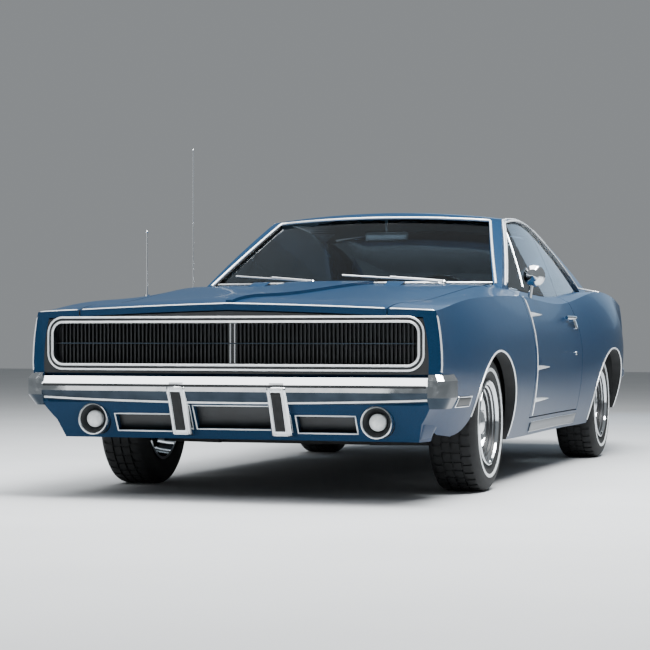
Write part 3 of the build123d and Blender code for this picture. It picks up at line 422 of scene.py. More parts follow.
def lathe(profile, steps, axis="Y"):
    """Turn (along, radius) points about an axis through the origin."""
    points = [ALONG[axis] * along + RADIAL[axis] * radius for along, radius in profile]
    bpy.ops.mesh.primitive_plane_add(size=0.01)
    piece = bpy.context.active_object
    open_mesh(piece)
    bpy.ops.mesh.select_mode(type="VERT")
    bpy.ops.mesh.select_all(action="SELECT")
    bpy.ops.mesh.merge(type="CENTER")
    bpy.ops.transform.translate(value=points[0])
    for start, end in zip(points, points[1:]):
        bpy.ops.mesh.extrude_vertices_move(TRANSFORM_OT_translate={"value": end - start})
    bpy.ops.mesh.select_all(action="SELECT")
    bpy.ops.mesh.spin(steps=steps, angle=2 * pi, center=(0, 0, 0), axis=ALONG[axis])
    bpy.ops.mesh.select_all(action="SELECT")
    bpy.ops.mesh.remove_doubles(threshold=SEAM_NEAR)
    bpy.ops.mesh.normals_make_consistent(inside=False)
    close_mesh()
    return piece


def placed(piece, place, turn=(0, 0, 0)):
    piece.location = place
    piece.rotation_euler = turn
    return piece


def placed_copy(piece, place, turn=(0, 0, 0)):
    return placed(copied(piece), place, turn)


def discard(*patterns):
    for pattern in patterns:
        bpy.data.objects.remove(pattern)


def joined(pieces):
    bpy.ops.object.select_all(action="DESELECT")
    for piece in pieces:
        piece.select_set(True)
    bpy.context.view_layer.objects.active = pieces[0]
    bpy.ops.object.join()
    return pieces[0]


# %% [markdown]
# The tyre is a bias-ply section with round shoulders, three grooves round the tread and short cross cuts
# that leave blocks between them. The cuts are tread faces pushed inwards. A white stripe, 15 mm wide, is
# moulded into the outer sidewall; it is a thin ring of its own.

# %% Tyres
TYRE_STEPS, CUT_EVERY, CUT_DEEP = 120, 3, 0.005
TREAD_R, GROOVE_R = HUB_Z, 0.3045
RIB_Y, TREAD_END_Y = 0.046, 0.09
SIDEWALL = [(-0.092, 0.196), (-0.104, 0.212), (-0.111, 0.238), (-0.112, 0.260), (-0.108, 0.284)]
SHOULDER = [(-0.098, 0.300), (-0.086, 0.3080), (-0.074, 0.3115)]
OUTER_GROOVE = [(-RIB_Y, TREAD_R), (-0.0455, GROOVE_R), (-0.0385, GROOVE_R), (-0.038, TREAD_R)]
MIDDLE_GROOVE = [(-0.005, TREAD_R), (-0.0045, GROOVE_R)]
STRIPE = [(0.108, 0.2335), (0.1118, 0.2340), (0.1130, 0.2485), (0.108, 0.2490), (0.108, 0.2335)]
half_profile = SIDEWALL + SHOULDER + OUTER_GROOVE + MIDDLE_GROOVE
tyre = lathe(half_profile + [(-y, r) for y, r in half_profile[::-1]] + half_profile[:1], TYRE_STEPS)


def in_cross_cut(middle, normal):
    radius = hypot(middle.x, middle.z)
    step = int((atan2(middle.z, middle.x) % (2 * pi)) / (2 * pi / TYRE_STEPS))
    first = 0 if abs(middle.y) > RIB_Y else 1
    return radius > GROOVE_R + 0.001 and abs(middle.y) < TREAD_END_Y and step % CUT_EVERY == first


open_mesh(tyre, in_cross_cut)
bpy.ops.mesh.extrude_region_shrink_fatten(TRANSFORM_OT_shrink_fatten={"value": -CUT_DEEP})
close_mesh()
stripe = lathe(STRIPE, TYRE_STEPS)
print("tyre faces:", len(tyre.data.polygons))

# %% [markdown]
# The wheel is a deep-dish chromed steel wheel: a rolled lip, two stepped trim rings, a dish with five
# dark slots, five nuts and a domed cap. It is turned as one closed section. The slots are faces pushed
# inwards, and they and the steps between the rings get a black second material: painted shade for the
# gaps between the rings and for the depth of the slots.

# %% Wheels
WHEEL_STEPS, SPOKES = 120, 5
SLOT_IN_R, SLOT_OUT_R, SLOT_SHARE, SLOT_DEEP = 0.104, 0.141, 0.32, 0.012
NUT_R, NUT_CIRCLE = 0.011, 0.079
LIP = [(0.100, 0.196), (0.107, 0.193), (0.1085, 0.188), (0.106, 0.183), (0.098, 0.180)]
RINGS = [(0.096, 0.172), (0.088, 0.168), (0.085, 0.161), (0.074, 0.158), (0.071, 0.150), (0.058, 0.147)]
DISH = [(0.044, 0.143), (0.036, 0.136), (0.034, 0.124), (0.037, 0.110), (0.045, 0.098), (0.051, 0.086)]
CAP = [(0.052, 0.066), (0.054, 0.060), (0.068, 0.056), (0.077, 0.046), (0.082, 0.030), (0.084, 0.012)]
BACK = [(0.0842, 0.0), (0.032, 0.0), (0.032, 0.055), (-0.020, 0.060), (-0.020, 0.130), (0.008, 0.137)]
BARREL = [(0.016, 0.156), (-0.060, 0.176), (-0.100, 0.182), (-0.100, 0.196), (0.100, 0.196)]
NUT = [(0.045, NUT_R), (0.062, NUT_R), (0.067, 0.007), (0.069, 0.0)]
rim = lathe(LIP + RINGS + DISH + CAP + BACK + BARREL, WHEEL_STEPS)
rim.data.materials.append(chrome)
rim.data.materials.append(black_plastic)


def in_slot(middle, normal):
    radius = hypot(middle.x, middle.z)
    turn = (atan2(middle.z, middle.x) / (2 * pi / SPOKES)) % 1.0
    return middle.y > 0.03 and SLOT_IN_R < radius < SLOT_OUT_R and abs(turn - 0.5) < SLOT_SHARE / 2


def in_ring_step(middle, normal):
    return middle.y > 0.05 and 0.146 < hypot(middle.x, middle.z) < 0.173 and abs(normal.y) < 0.5


# painted shade: the steps between the rings and the shallow slots are made black to stand for the shade in
# them
open_mesh(rim, in_ring_step)
rim.active_material_index = 1
bpy.ops.object.material_slot_assign()
pick_faces(rim, in_slot)
bpy.ops.mesh.extrude_region_shrink_fatten(TRANSFORM_OT_shrink_fatten={"value": -SLOT_DEEP})
bpy.ops.object.material_slot_assign()
close_mesh()
nut = lathe(NUT, 6)
nut.data.materials.append(chrome)
nuts = []
for i in range(SPOKES):
    turn = 2 * pi * i / SPOKES
    nuts.append(placed_copy(nut, (NUT_CIRCLE * cos(turn), 0, NUT_CIRCLE * sin(turn)), (0, -turn, 0)))
discard(nut)
rim = joined([rim, *nuts])
print("wheel faces:", len(rim.data.polygons))

# %% [markdown]
# One tyre, one stripe and one wheel serve all four corners. Each copy has a mesh of its own, is turned so
# that its outer side faces out, and rides on its own wheel body, so it spins and steers with it.

# %% Wheels and tyres on their hubs
AXLES, WHEEL_Y = (("front", 1.590), ("rear", -1.310)), 0.790
for end, x in AXLES:
    for side, sign in SIDES:
        place, turn = (x, sign * WHEEL_Y, HUB_Z), (0, 0, 0 if sign > 0 else pi)
        corner = f"{end}_{side}"
        body = "wheel_" + corner
        tread, band, wheel = (placed_copy(pattern, place, turn) for pattern in (tyre, stripe, rim))
        settle(tread, "tread_" + corner, tyre_rubber, body, ("tyre_" + corner,))
        settle(band, "white_stripe_" + corner, white_rubber, body)
        settle(wheel, "rim_" + corner, None, body, ("wheel_" + corner,))
discard(tyre, stripe, rim)
print("wheels dressed: 4")

# %% [markdown]
# Bright mouldings follow the body's own curves. Rays are sent at a CAD panel from the side, from ahead or
# from above to find its skin along a line, and a round bead, half sunk in the skin, runs through those
# points. A curve with a bevel gives the bead and is then made a mesh.

# %% Beads on the skin
FAR_Y, AHEAD_X, ABOVE_Z = 1.2, 3.2, 1.3
BEAD_CREASE = 60
skins = {}


def skin_point(node, start, aim, lift=0.0):
    """Where a ray meets a CAD node, lifted a little off its skin, or None."""
    if node not in skins:
        mesh = nodes[node].data
        faces = [p.vertices[:] for p in mesh.polygons]
        skins[node] = BVHTree.FromPolygons([v.co for v in mesh.vertices], faces)
    place = skins[node].ray_cast(Vector(start), Vector(aim))[0]
    return place - Vector(aim) * lift if place else None


def from_side(node, sign, points):
    return [skin_point(node, (x, sign * FAR_Y, z), (0, -sign, 0)) for x, z in points]


def from_ahead(node, points, end=1):
    return [skin_point(node, (end * AHEAD_X, y, z), (-end, 0, 0)) for y, z in points]


def from_above(node, points, lift=0.0):
    return [skin_point(node, (x, y, ABOVE_Z), (0, 0, -1), lift) for x, y in points]


def bead(name, points, radius, finish=chrome, body="chassis", closed=False, sides=3):
    """A round bead through points; those that no ray found are left out."""
    curve = bpy.data.curves.new(name, "CURVE")
    curve.dimensions = "3D"
    curve.bevel_depth = radius
    curve.bevel_resolution = sides
    curve.use_fill_caps = True
    points = [p for p in points if p]
    line = curve.splines.new("POLY")
    line.points.add(len(points) - 1)
    for knot, point in zip(line.points, points):
        knot.co = (*point, 1.0)
    line.use_cyclic_u = closed
    piece = bpy.data.objects.new(name, curve)
    bpy.context.scene.collection.objects.link(piece)
    alone(piece)
    bpy.ops.object.convert(target="MESH")
    return settle(bpy.context.active_object, name, finish, body, angle=BEAD_CREASE)


def spaced(a, b, count):
    """Evenly spaced values from a to b."""
    return [a + (b - a) * i / (count - 1) for i in range(count)]


def between(a, b, count):
    """Evenly spaced points from a to b."""
    return list(zip(*(spaced(p, q, count) for p, q in zip(a, b))))


def round_corners(corners, count):
    """Points along the closed line through some corners, count on each side with its next corner."""
    return [p for a, b in zip(corners, corners[1:] + corners[:1]) for p in between(a, b, count)[:-1]]


def arc_points(a, middle, b, count):
    """Points of the circle arc through three points of a plane."""
    (ax, ay), (mx, my), (bx, by) = a, middle, b
    d = 2 * (ax * (my - by) + mx * (by - ay) + bx * (ay - my))
    aa, mm, bb = ax**2 + ay**2, mx**2 + my**2, bx**2 + by**2
    cx = (aa * (my - by) + mm * (by - ay) + bb * (ay - my)) / d
    cy = (aa * (bx - mx) + mm * (ax - bx) + bb * (mx - ax)) / d
    start, end = atan2(ay - cy, ax - cx), atan2(by - cy, bx - cx)
    turn = (end - start + pi) % (2 * pi) - pi
    radius = hypot(ax - cx, ay - cy)
    return [(cx + radius * cos(t), cy + radius * sin(t)) for t in spaced(start, start + turn, count)]


# %% [markdown]
# The wheel arches have thin rolled lips that catch the light. The line is an ellipse about the hub, a
# little wider than tall, sent at the fender and the quarter from the side.

# %% Arch lips
ARCH_LIP_R, ARCH_LIP_OUT = 0.0045, 0.006
turns = [radians(t) for t in spaced(-14, 194, 49)]
for side, sign in SIDES:
    for panel, (x, half_length, rise) in ARCHES.items():
        long, tall = half_length + ARCH_LIP_OUT, rise + ARCH_LIP_OUT
        line = [(x + long * cos(t), HUB_Z + tall * sin(t)) for t in turns]
        bead(f"{panel}_arch_lip_{side}", from_side(f"{panel}_{side}", sign, line), ARCH_LIP_R, bright_trim)
print("arch lips: 4")

# %% [markdown]
# The glasshouse is outlined in bright metal: a bead round the windscreen, a drip rail that climbs the
# pillar and runs along the roof, and a reveal bead round the side windows. The outlines repeat the window
# openings.

# %% Windscreen and roof mouldings
SCREEN_RIM = 0.007
SCREEN_LOW_Y, SCREEN_TOP_Y = 0.738, 0.572
PILLAR_FOOT_Z, SCREEN_TOP_Z, SCREEN_CROWN_Z = 0.962, 1.302, 1.322
SCREEN_FOOT_Y, SCREEN_FOOT_Z = 0.72, 0.968
SIDE_FRONT_LOW, SIDE_FRONT_TOP = (0.708, 0.935), (0.088, 1.293)
SIDE_RAIL_MID, SIDE_RAIL_REAR = (-0.380, 1.309), (-0.880, 1.212)
SIDE_TAIL_MID, SIDE_TAIL_LOW = (-1.180, 1.090), (-1.450, 0.930)
RAIL_REACH, ROOF_SIDE_Y, BELT_Z = 0.018, 0.45, 0.945
pillar_foot = (SCREEN_LOW_Y + SCREEN_RIM, PILLAR_FOOT_Z)
pillar_top = (SCREEN_TOP_Y + SCREEN_RIM, SCREEN_TOP_Z)
pillar = between(pillar_foot, pillar_top, 16)
header_z, crown_z = SCREEN_TOP_Z + SCREEN_RIM, SCREEN_CROWN_Z + SCREEN_RIM
header = arc_points((SCREEN_TOP_Y, header_z), (0, crown_z), (-SCREEN_TOP_Y, header_z), 25)
outline = pillar + header + [(-y, z) for y, z in pillar[::-1]]
bead("windscreen_rim", from_ahead("roof", outline), 0.0065, bright_trim)
foot = [(y, SCREEN_FOOT_Z) for y in spaced(-SCREEN_FOOT_Y, SCREEN_FOOT_Y, 25)]
bead("windscreen_foot_rim", from_ahead("windshield", foot), 0.006, bright_trim)


def raised(points, up, ahead=0.0):
    return [(x + ahead, z + up) for x, z in points]


def beside(side, sign, points):
    """The roof's skin, or else the quarter's, along a window's line, or None away from both."""
    found = [None] * len(points)
    for node in ("quarter_" + side, "roof"):
        for i, hit in enumerate(from_side(node, sign, points)):
            if hit and hit.y * sign > ROOF_SIDE_Y and hit.z > BELT_Z:
                found[i] = hit
    return found


post_line = between(SIDE_FRONT_LOW, SIDE_FRONT_TOP, 14)
roof_line = arc_points(SIDE_FRONT_TOP, SIDE_RAIL_MID, SIDE_RAIL_REAR, 22)
tail_line = arc_points(SIDE_RAIL_REAR, SIDE_TAIL_MID, SIDE_TAIL_LOW, 16)
edge_line = raised(post_line, 0.006, 0.004) + raised(roof_line, 0.006)
rail_line = raised(post_line, 0.019, 0.012) + raised(roof_line, 0.018)
for side, sign in SIDES:
    edge = beside(side, sign, edge_line)
    bead("window_reveal_" + side, edge + beside(side, sign, raised(tail_line, 0.006)), 0.0055, bright_trim)
    rail = beside(side, sign, rail_line)
    for i, (p, q) in enumerate(zip(rail, edge)):
        if q and (not p or abs(q.y) - abs(p.y) > RAIL_REACH):
            rail[i] = q + Vector((0, -sign * RAIL_REACH, RAIL_REACH / 2))
    bead("drip_rail_" + side, rail, 0.006, bright_trim)
print("glass mouldings: 6")

# %% [markdown]
# The nose is framed by two bright beads round the grille, one on the rim of the opening and one just
# outside it. Both are rounded rectangles bent to the nose's shallow plan arc. A twin upright parts the
# grille in the middle, and a thin dark bar crosses it.

# %% Grille rims
NOSE_CENTRE_X, NOSE_FALL = 2.604, 0.044 / 1.020**2
GRILLE_HALF_Y, GRILLE_LOW_Z, GRILLE_TOP_Z, GRILLE_CORNER_R = 0.822, 0.586, 0.762, 0.045
RIM_STEP = 0.06
DIVIDER_X, DIVIDER_Y, DIVIDER_SHORT = 2.541, 0.010, 0.004
BAR_X, BAR_HALF_Y, BAR_Z = 2.5455, 0.80, 0.674


def nose_x(y):
    return NOSE_CENTRE_X - NOSE_FALL * y * y


def rounded_frame(half_y, low_z, top_z, corner):
    """A closed line round a rounded rectangle on the nose's plan arc."""
    line = []
    for sign, z, first in ((1, top_z, 0), (-1, top_z, 90), (-1, low_z, 180), (1, low_z, 270)):
        cy, cz = sign * (half_y - corner), z - corner if z == top_z else z + corner
        for degrees in spaced(first, first + 90, 9):
            line.append((cy + corner * cos(radians(degrees)), cz + corner * sin(radians(degrees))))
    full = []
    for a, b in zip(line, line[1:] + line[:1]):
        full += between(a, b, max(1, int(abs(b[0] - a[0]) / RIM_STEP)) + 1)[:-1]
    return [(nose_x(y), y, z) for y, z in full]


for name, grow, radius in (("inner", 0.004, 0.0055), ("outer", 0.024, 0.0045)):
    low_z, top_z = GRILLE_LOW_Z - grow, GRILLE_TOP_Z + grow
    frame_line = rounded_frame(GRILLE_HALF_Y + grow, low_z, top_z, GRILLE_CORNER_R + grow)
    bead(f"grille_rim_{name}", frame_line, radius, bright_trim, closed=True)
for side, sign in SIDES:
    ends = (GRILLE_LOW_Z + DIVIDER_SHORT, GRILLE_TOP_Z - DIVIDER_SHORT)
    bead("grille_divider_" + side, [(DIVIDER_X, sign * DIVIDER_Y, z) for z in ends], 0.0045)
bead("grille_bar", [(BAR_X, y, BAR_Z) for y in (-BAR_HALF_Y, 0.0, BAR_HALF_Y)], 0.003, dull_chrome)
print("grille trims: 5")

# %% [markdown]
# A thin bright bead along the hood's front lip and the fenders' leading edges is a painted highlight of
# those rolled edges. The lip is found from above, just behind the nose; the fender edge is found from
# the side, up the front face, and from above, in along its top.

# %% Nose edges
EDGE_R, EDGE_BACK = 0.004, 0.005
FENDER_FACE_X = 2.566
lip = [(nose_x(y) - EDGE_BACK, y) for y in spaced(-0.68, 0.68, 41)]
# painted highlight: bright beads along the lip and the fender edges stand in for the highlights on those
# edges
bead("hood_lip", from_above("hood", lip), EDGE_R, bright_trim, "hood")
for side, sign in SIDES:
    face = from_side("fender_" + side, sign, [(FENDER_FACE_X, z) for z in spaced(0.556, 0.781, 9)])
    top = [(nose_x(y) - EDGE_BACK, sign * y) for y in spaced(0.885, 0.705, 9)]
    bead("fender_edge_" + side, face + from_above("fender_" + side, top), EDGE_R, bright_trim)
print("nose edges: 3")

# %% [markdown]
# Flat trims such as the sill moulding, the rubber inserts and the cowl vent lie on the body like tape.
# Each is a grid whose points are sent at the panel by rays and then given thickness. A shrinkwrap
# modifier could do this, but rays from one direction keep the strip's edges straight when seen from
# there.

# %% Strips on the skin
SILL_FRONT_X, SILL_REAR_X, SILL_HEIGHTS = 0.680, -0.535, (0.232, 0.256, 0.280)


def strip(name, rows, thick, finish, body="chassis"):
    """A strip through rows of points, each row as long as the first, given a thickness both ways."""
    across, along = len(rows), len(rows[0])
    bpy.ops.mesh.primitive_grid_add(x_subdivisions=along - 1, y_subdivisions=across - 1, size=1)
    piece = bpy.context.active_object
    for vertex, point in zip(piece.data.vertices, [p for row in rows for p in row]):
        vertex.co = point
    face_outwards(piece)
    apply_modifier(piece, "SOLIDIFY", thickness=thick, offset=0.0)
    apply_modifier(piece, "BEVEL", width=min(thick * 0.3, 0.002), segments=2, limit_method="ANGLE")
    return settle(piece, name, finish, body)


def filled(hits):
    """A row of hits in which a ray that missed repeats its neighbour's."""
    found = next(hit for hit in hits if hit)
    row = []
    for hit in hits:
        found = hit or found
        row.append(found)
    return row


def side_row(node, sign, points):
    return filled(from_side(node, sign, points))


sill_x = spaced(SILL_FRONT_X, SILL_REAR_X, 25)
for side, sign in SIDES:
    rows = [side_row("sills", sign, [(x, z) for x in sill_x]) for z in SILL_HEIGHTS]
    strip("sill_moulding_" + side, rows, 0.008, dull_chrome)
    for edge, row in (("low", rows[0]), ("high", rows[2])):
        bead(f"sill_edge_{edge}_{side}", row, 0.003)
print("sill mouldings: 2")

# %% [markdown]
# The front bumper shows bright bands parted by dark lines. The lines are a black-filled groove along the
# blade's middle and the shadow under its lip, which gets a bright rolled edge. Each guard is a chromed
# shell with a rubber strip in a bright frame.

# %% Bumper lines and guards
GROOVE_HEIGHTS = (0.4885, 0.5005)
BLADE_HALF_Y, LIP_LOW_Z, LIP_RISE = 0.862, 0.4225, 0.018
REAR_LIP_HALF_Y, REAR_LIP_Z = 0.79, 0.4135
GUARD_Y = 0.225
GUARD_ENDS = ((0.281, -0.030), (0.495, -0.012))
GUARD_SECTION = ((-0.043, -0.040), (-0.043, -0.004), (-0.037, 0.005), (0.0, 0.007))
GUARD_SECTION += tuple((-across, out) for across, out in GUARD_SECTION[2::-1])
RUBBER_HALF, RUBBER_OUT, FRAME_HALF, FRAME_OUT = 0.022, 0.010, 0.030, 0.008
blade_y = spaced(-BLADE_HALF_Y, BLADE_HALF_Y, 41)
groove = [filled(from_ahead("front_bumper", [(y, z) for y in blade_y])) for z in GROOVE_HEIGHTS]
strip("bumper_groove", groove, 0.004, black_plastic)
lip = [(y, LIP_LOW_Z + LIP_RISE * (y / BLADE_HALF_Y) ** 2) for y in blade_y]
bead("bumper_lip", filled(from_ahead("front_bumper", lip)), 0.005, bright_trim)
lip = [(y, REAR_LIP_Z) for y in spaced(-REAR_LIP_HALF_Y, REAR_LIP_HALF_Y, 41)]
bead("rear_bumper_lip", filled(from_ahead("rear_bumper", lip, -1)), 0.0045)


def guard_row(sign, across, out, heights):
    """Points up a guard's face, beside its middle line and out from it."""
    line = filled(from_ahead("front_bumper", [(sign * GUARD_Y, z) for z in heights]))
    return [p + Vector((out, across, 0)) for p in line]


heights = spaced(0.286, 0.484, 13)
for side, sign in SIDES:
    rows = []
    for across, out in GUARD_SECTION:
        row = guard_row(sign, across, out, heights)
        (low_z, low_in), (top_z, top_in) = GUARD_ENDS
        low = Vector((row[0].x + low_in, row[0].y, low_z))
        top = Vector((row[-1].x + top_in, row[-1].y, top_z))
        rows.append([low, *row, top])
    strip("guard_shell_" + side, rows, 0.004, chrome)
    rubber = [guard_row(sign, y, RUBBER_OUT, heights[1:-1]) for y in (-RUBBER_HALF, 0.0, RUBBER_HALF)]
    strip("guard_rubber_" + side, rubber, 0.008, tyre_rubber)
    edge = guard_row(sign, -FRAME_HALF, FRAME_OUT, heights)
    edge += guard_row(sign, FRAME_HALF, FRAME_OUT, heights)[::-1]
    bead("guard_frame_" + side, edge, 0.0045, bright_trim, closed=True)
print("guards dressed: 2")

# %% [markdown]
# The valance has three openings, each with a thin bright rim and a black screen behind it. The middle one
# lies between the guards.

# %% Valance rims
OPENINGS = {
    "middle": (-0.170, 0.170, 0.310, 0.405),
    "left": (0.285, 0.540, 0.298, 0.366),
    "right": (-0.540, -0.285, 0.298, 0.366),
}
VALANCE_FACE = ((2.572, 0.418), (2.480, 0.262))
RIM_GROW, SCREEN_GROW, SCREEN_BACK = 0.004, 0.01, 0.034


def valance_x(z):
    (x1, z1), (x0, z0) = VALANCE_FACE
    return x0 + (x1 - x0) * (z - z0) / (z1 - z0)


def rectangle(y0, y1, z0, z1, grow=0.0):
    """Points round an upright rectangle, grown on every side."""
    y0, y1, z0, z1 = y0 - grow, y1 + grow, z0 - grow, z1 + grow
    return round_corners(((y0, z0), (y1, z0), (y1, z1), (y0, z1)), 5)


for name, (y0, y1, z0, z1) in OPENINGS.items():
    line = [(valance_x(z), y, z) for y, z in rectangle(y0, y1, z0, z1, RIM_GROW)]
    bead("valance_rim_" + name, line, 0.0035, bright_trim, closed=True)
    rows = []
    for z in (z0 - SCREEN_GROW, z1 + SCREEN_GROW):
        wide = spaced(y0 - SCREEN_GROW, y1 + SCREEN_GROW, 9)
        rows.append([Vector((valance_x(z) - SCREEN_BACK, y, z)) for y in wide])
    strip("valance_screen_" + name, rows, 0.004, black_plastic)
print("valance openings:", len(OPENINGS))

# %% [markdown]
# Between the valance's lower flange and the fender's lower edge a painted filler closes the nose's
# corner. It is a strip set a few millimetres inside both skins, so that it reads as the joint's sunk
# back. A second pair closes the seam between the tail panel and the quarters.

# %% Corner fillers
FILLER_SUNK, FILLER_THICK = 0.005, 0.004
FILLER_LOW_Z, FILLER_HIGH_Z, FILLER_REAR_X = 0.274, 0.344, 2.374
TAIL_FILLER_HEIGHTS = (0.836, 0.857, 0.878)
for side, sign in SIDES:
    low = [(x, sign * (0.820 - 0.17 * (x - 2.40)), FILLER_LOW_Z) for x in spaced(FILLER_REAR_X, 2.484, 7)]
    line = [(x, FILLER_HIGH_Z) for x in spaced(FILLER_REAR_X, 2.508, 7)]
    high = [p - Vector((0, sign * FILLER_SUNK, 0)) for p in side_row("fender_" + side, sign, line)]
    rows = [[Vector(a).lerp(b, share) for a, b in zip(low, high)] for share in (0.0, 0.5, 1.0)]
    strip("corner_filler_" + side, rows, FILLER_THICK, blue_enamel)
    ends = between((-2.555, sign * 0.607), (-2.545, sign * 0.772), 7)
    rows = [[Vector((x, y, z)) for x, y in ends] for z in TAIL_FILLER_HEIGHTS]
    strip("tail_filler_" + side, rows, FILLER_THICK, blue_enamel)
print("corner fillers: 4")

# %% [markdown]
# Each round lamp is a thin chromed bezel round a dark bowl, with a domed glass lens in the middle. The
# three are turned on the lathe about the X axis and set in the valance's holes.

# %% Front lamps
LAMP_X, LAMP_Y, LAMP_Z = 2.470, 0.640, 0.345
BEZEL = [(0.060, 0.0690), (0.089, 0.0690), (0.0930, 0.0675), (0.0935, 0.0645), (0.090, 0.0620)]
BEZEL += [(0.060, 0.0600), (0.060, 0.0690)]
BOWL = [(0.0, 0.0), (0.0, 0.069), (0.060, 0.069), (0.060, 0.0610), (0.084, 0.0620), (0.068, 0.0470)]
BOWL += [(0.050, 0.0370), (0.046, 0.0)]
LENS = [(0.048, 0.0), (0.050, 0.0365), (0.068, 0.0370), (0.0755, 0.0335), (0.082, 0.0250), (0.0865, 0.0130)]
LENS += [(0.088, 0.0)]
lamp_patterns = (
    ("lamp_bezel", BEZEL, chrome),
    ("lamp_bowl", BOWL, black_plastic),
    ("lamp_lens", LENS, lamp_glass),
)
for name, profile, finish in lamp_patterns:
    pattern = lathe(profile, 64, "X")
    for side, sign in SIDES:
        copy = placed_copy(pattern, (LAMP_X, sign * LAMP_Y, LAMP_Z))
        settle(copy, f"{name}_{side}", finish, stands_for=("front_lamps",), angle=40)
    discard(pattern)
print("front lamps: 2")

# %% [markdown]
# A wiper is a sprung arm on a pivot cap, with a blade that lies along the glass. The arm and the blade
# are bright beads, and a rubber edge runs along the blade's underside.

# %% Wipers
WIPERS = {
    "left": ((0.930, 0.520, 0.966), (0.885, -0.010, 1.003)),
    "right": ((0.972, -0.140, 0.970), (0.792, -0.605, 1.005)),
}
ARM_FOOT, ARM_RISE, ARM_SHARE = Vector((0, 0, 0.008)), Vector((0.004, 0, 0.012)), 0.52
BLADE_OFF, RUBBER_OFF = Vector((0.004, 0, 0.006)), Vector((0.006, 0, 0.004))
cap = lathe([(-0.022, 0.0), (-0.022, 0.013), (0.006, 0.014), (0.012, 0.010), (0.014, 0.0)], 24, "Z")
for side, (foot, tip) in WIPERS.items():
    foot, tip = Vector(foot), Vector(tip)
    settle(placed_copy(cap, foot), "wiper_pivot_" + side, chrome, stands_for=("wipers",))
    arm_end = foot.lerp(tip, ARM_SHARE) + ARM_RISE
    arm = [foot + ARM_FOOT, foot.lerp(arm_end, 0.3) + ARM_RISE * 0.5, arm_end]
    bead("wiper_arm_" + side, arm, 0.0055, bright_trim)
    blade = [foot.lerp(tip, share) + BLADE_OFF for share in (0.06, 0.3, ARM_SHARE, 0.75, 1.0)]
    bead("wiper_blade_" + side, blade, 0.0045, bright_trim)
    bead("wiper_rubber_" + side, [p - RUBBER_OFF for p in blade], 0.0035, black_plastic)
discard(cap)
print("wipers: 2")

# %% [markdown]
# The steering wheel is a thin rim on three flat spokes with a padded hub. It is made flat about the Z
# axis and then set on the column's raked axis, where the CAD wheel turns.

# %% Steering wheel
STEERING_CENTRE, STEERING_RAKE, STEERING_R = Vector((0.345, 0.375, 0.835)), radians(24), 0.190
GRIP_R, SPOKE_DOWN = 0.0125, -0.006
HUB_PAD = [(-0.046, 0.0), (-0.046, 0.040), (-0.010, 0.042), (0.004, 0.038), (0.008, 0.024), (0.009, 0.0)]
grip_turns = [radians(t) for t in spaced(0, 360, 13)]
wheel_rim = lathe([(GRIP_R * sin(t), STEERING_R + GRIP_R * cos(t)) for t in grip_turns], 72, "Z")
steering_pieces = [(wheel_rim, "steering_rim", black_plastic, "black_trim")]
steering_pieces.append((lathe(HUB_PAD, 40, "Z"), "steering_pad", black_vinyl, "black_trim"))
for i, degrees in enumerate((90, 210, 330)):
    spoke = block((STEERING_R - 0.016, 0.024, 0.006), (STEERING_R / 2 + 0.008, 0, SPOKE_DOWN))
    open_mesh(spoke, lambda p, n: n.x > 0.5)
    bpy.ops.transform.resize(value=(1, 1.5, 1))
    pick_faces(spoke, lambda p, n: n.z > 0.5)
    bpy.ops.mesh.inset(thickness=0.005)
    bpy.ops.transform.translate(value=(0, 0, -0.002))
    close_mesh()
    apply_modifier(spoke, "BEVEL", width=0.001, segments=2)
    spoke.rotation_euler = (0, 0, radians(degrees))
    bpy.ops.object.transform_apply(rotation=True)
    steering_pieces.append((spoke, f"steering_spoke_{i + 1}", dull_chrome, "chrome"))
column = Vector((-cos(STEERING_RAKE), 0, sin(STEERING_RAKE)))
flat_x = Vector((0, 1, 0))
tilt = Matrix((flat_x, column.cross(flat_x), column)).transposed().to_4x4()
for piece, name, finish, slot in steering_pieces:
    piece.matrix_world = Matrix.Translation(STEERING_CENTRE) @ tilt
    settle(piece, name, finish, node_body["steering_wheel"], ("steering_wheel",))
print("steering wheel pieces:", len(steering_pieces))

# %% [markdown]
# The doors carry most of the side's small trim: a bright line down the leading edge with three pointed
# coves, a pull handle, a lock, a bead along the belt and the slanted divider of the vent window. All of
# it rides on the door, so it swings with it.

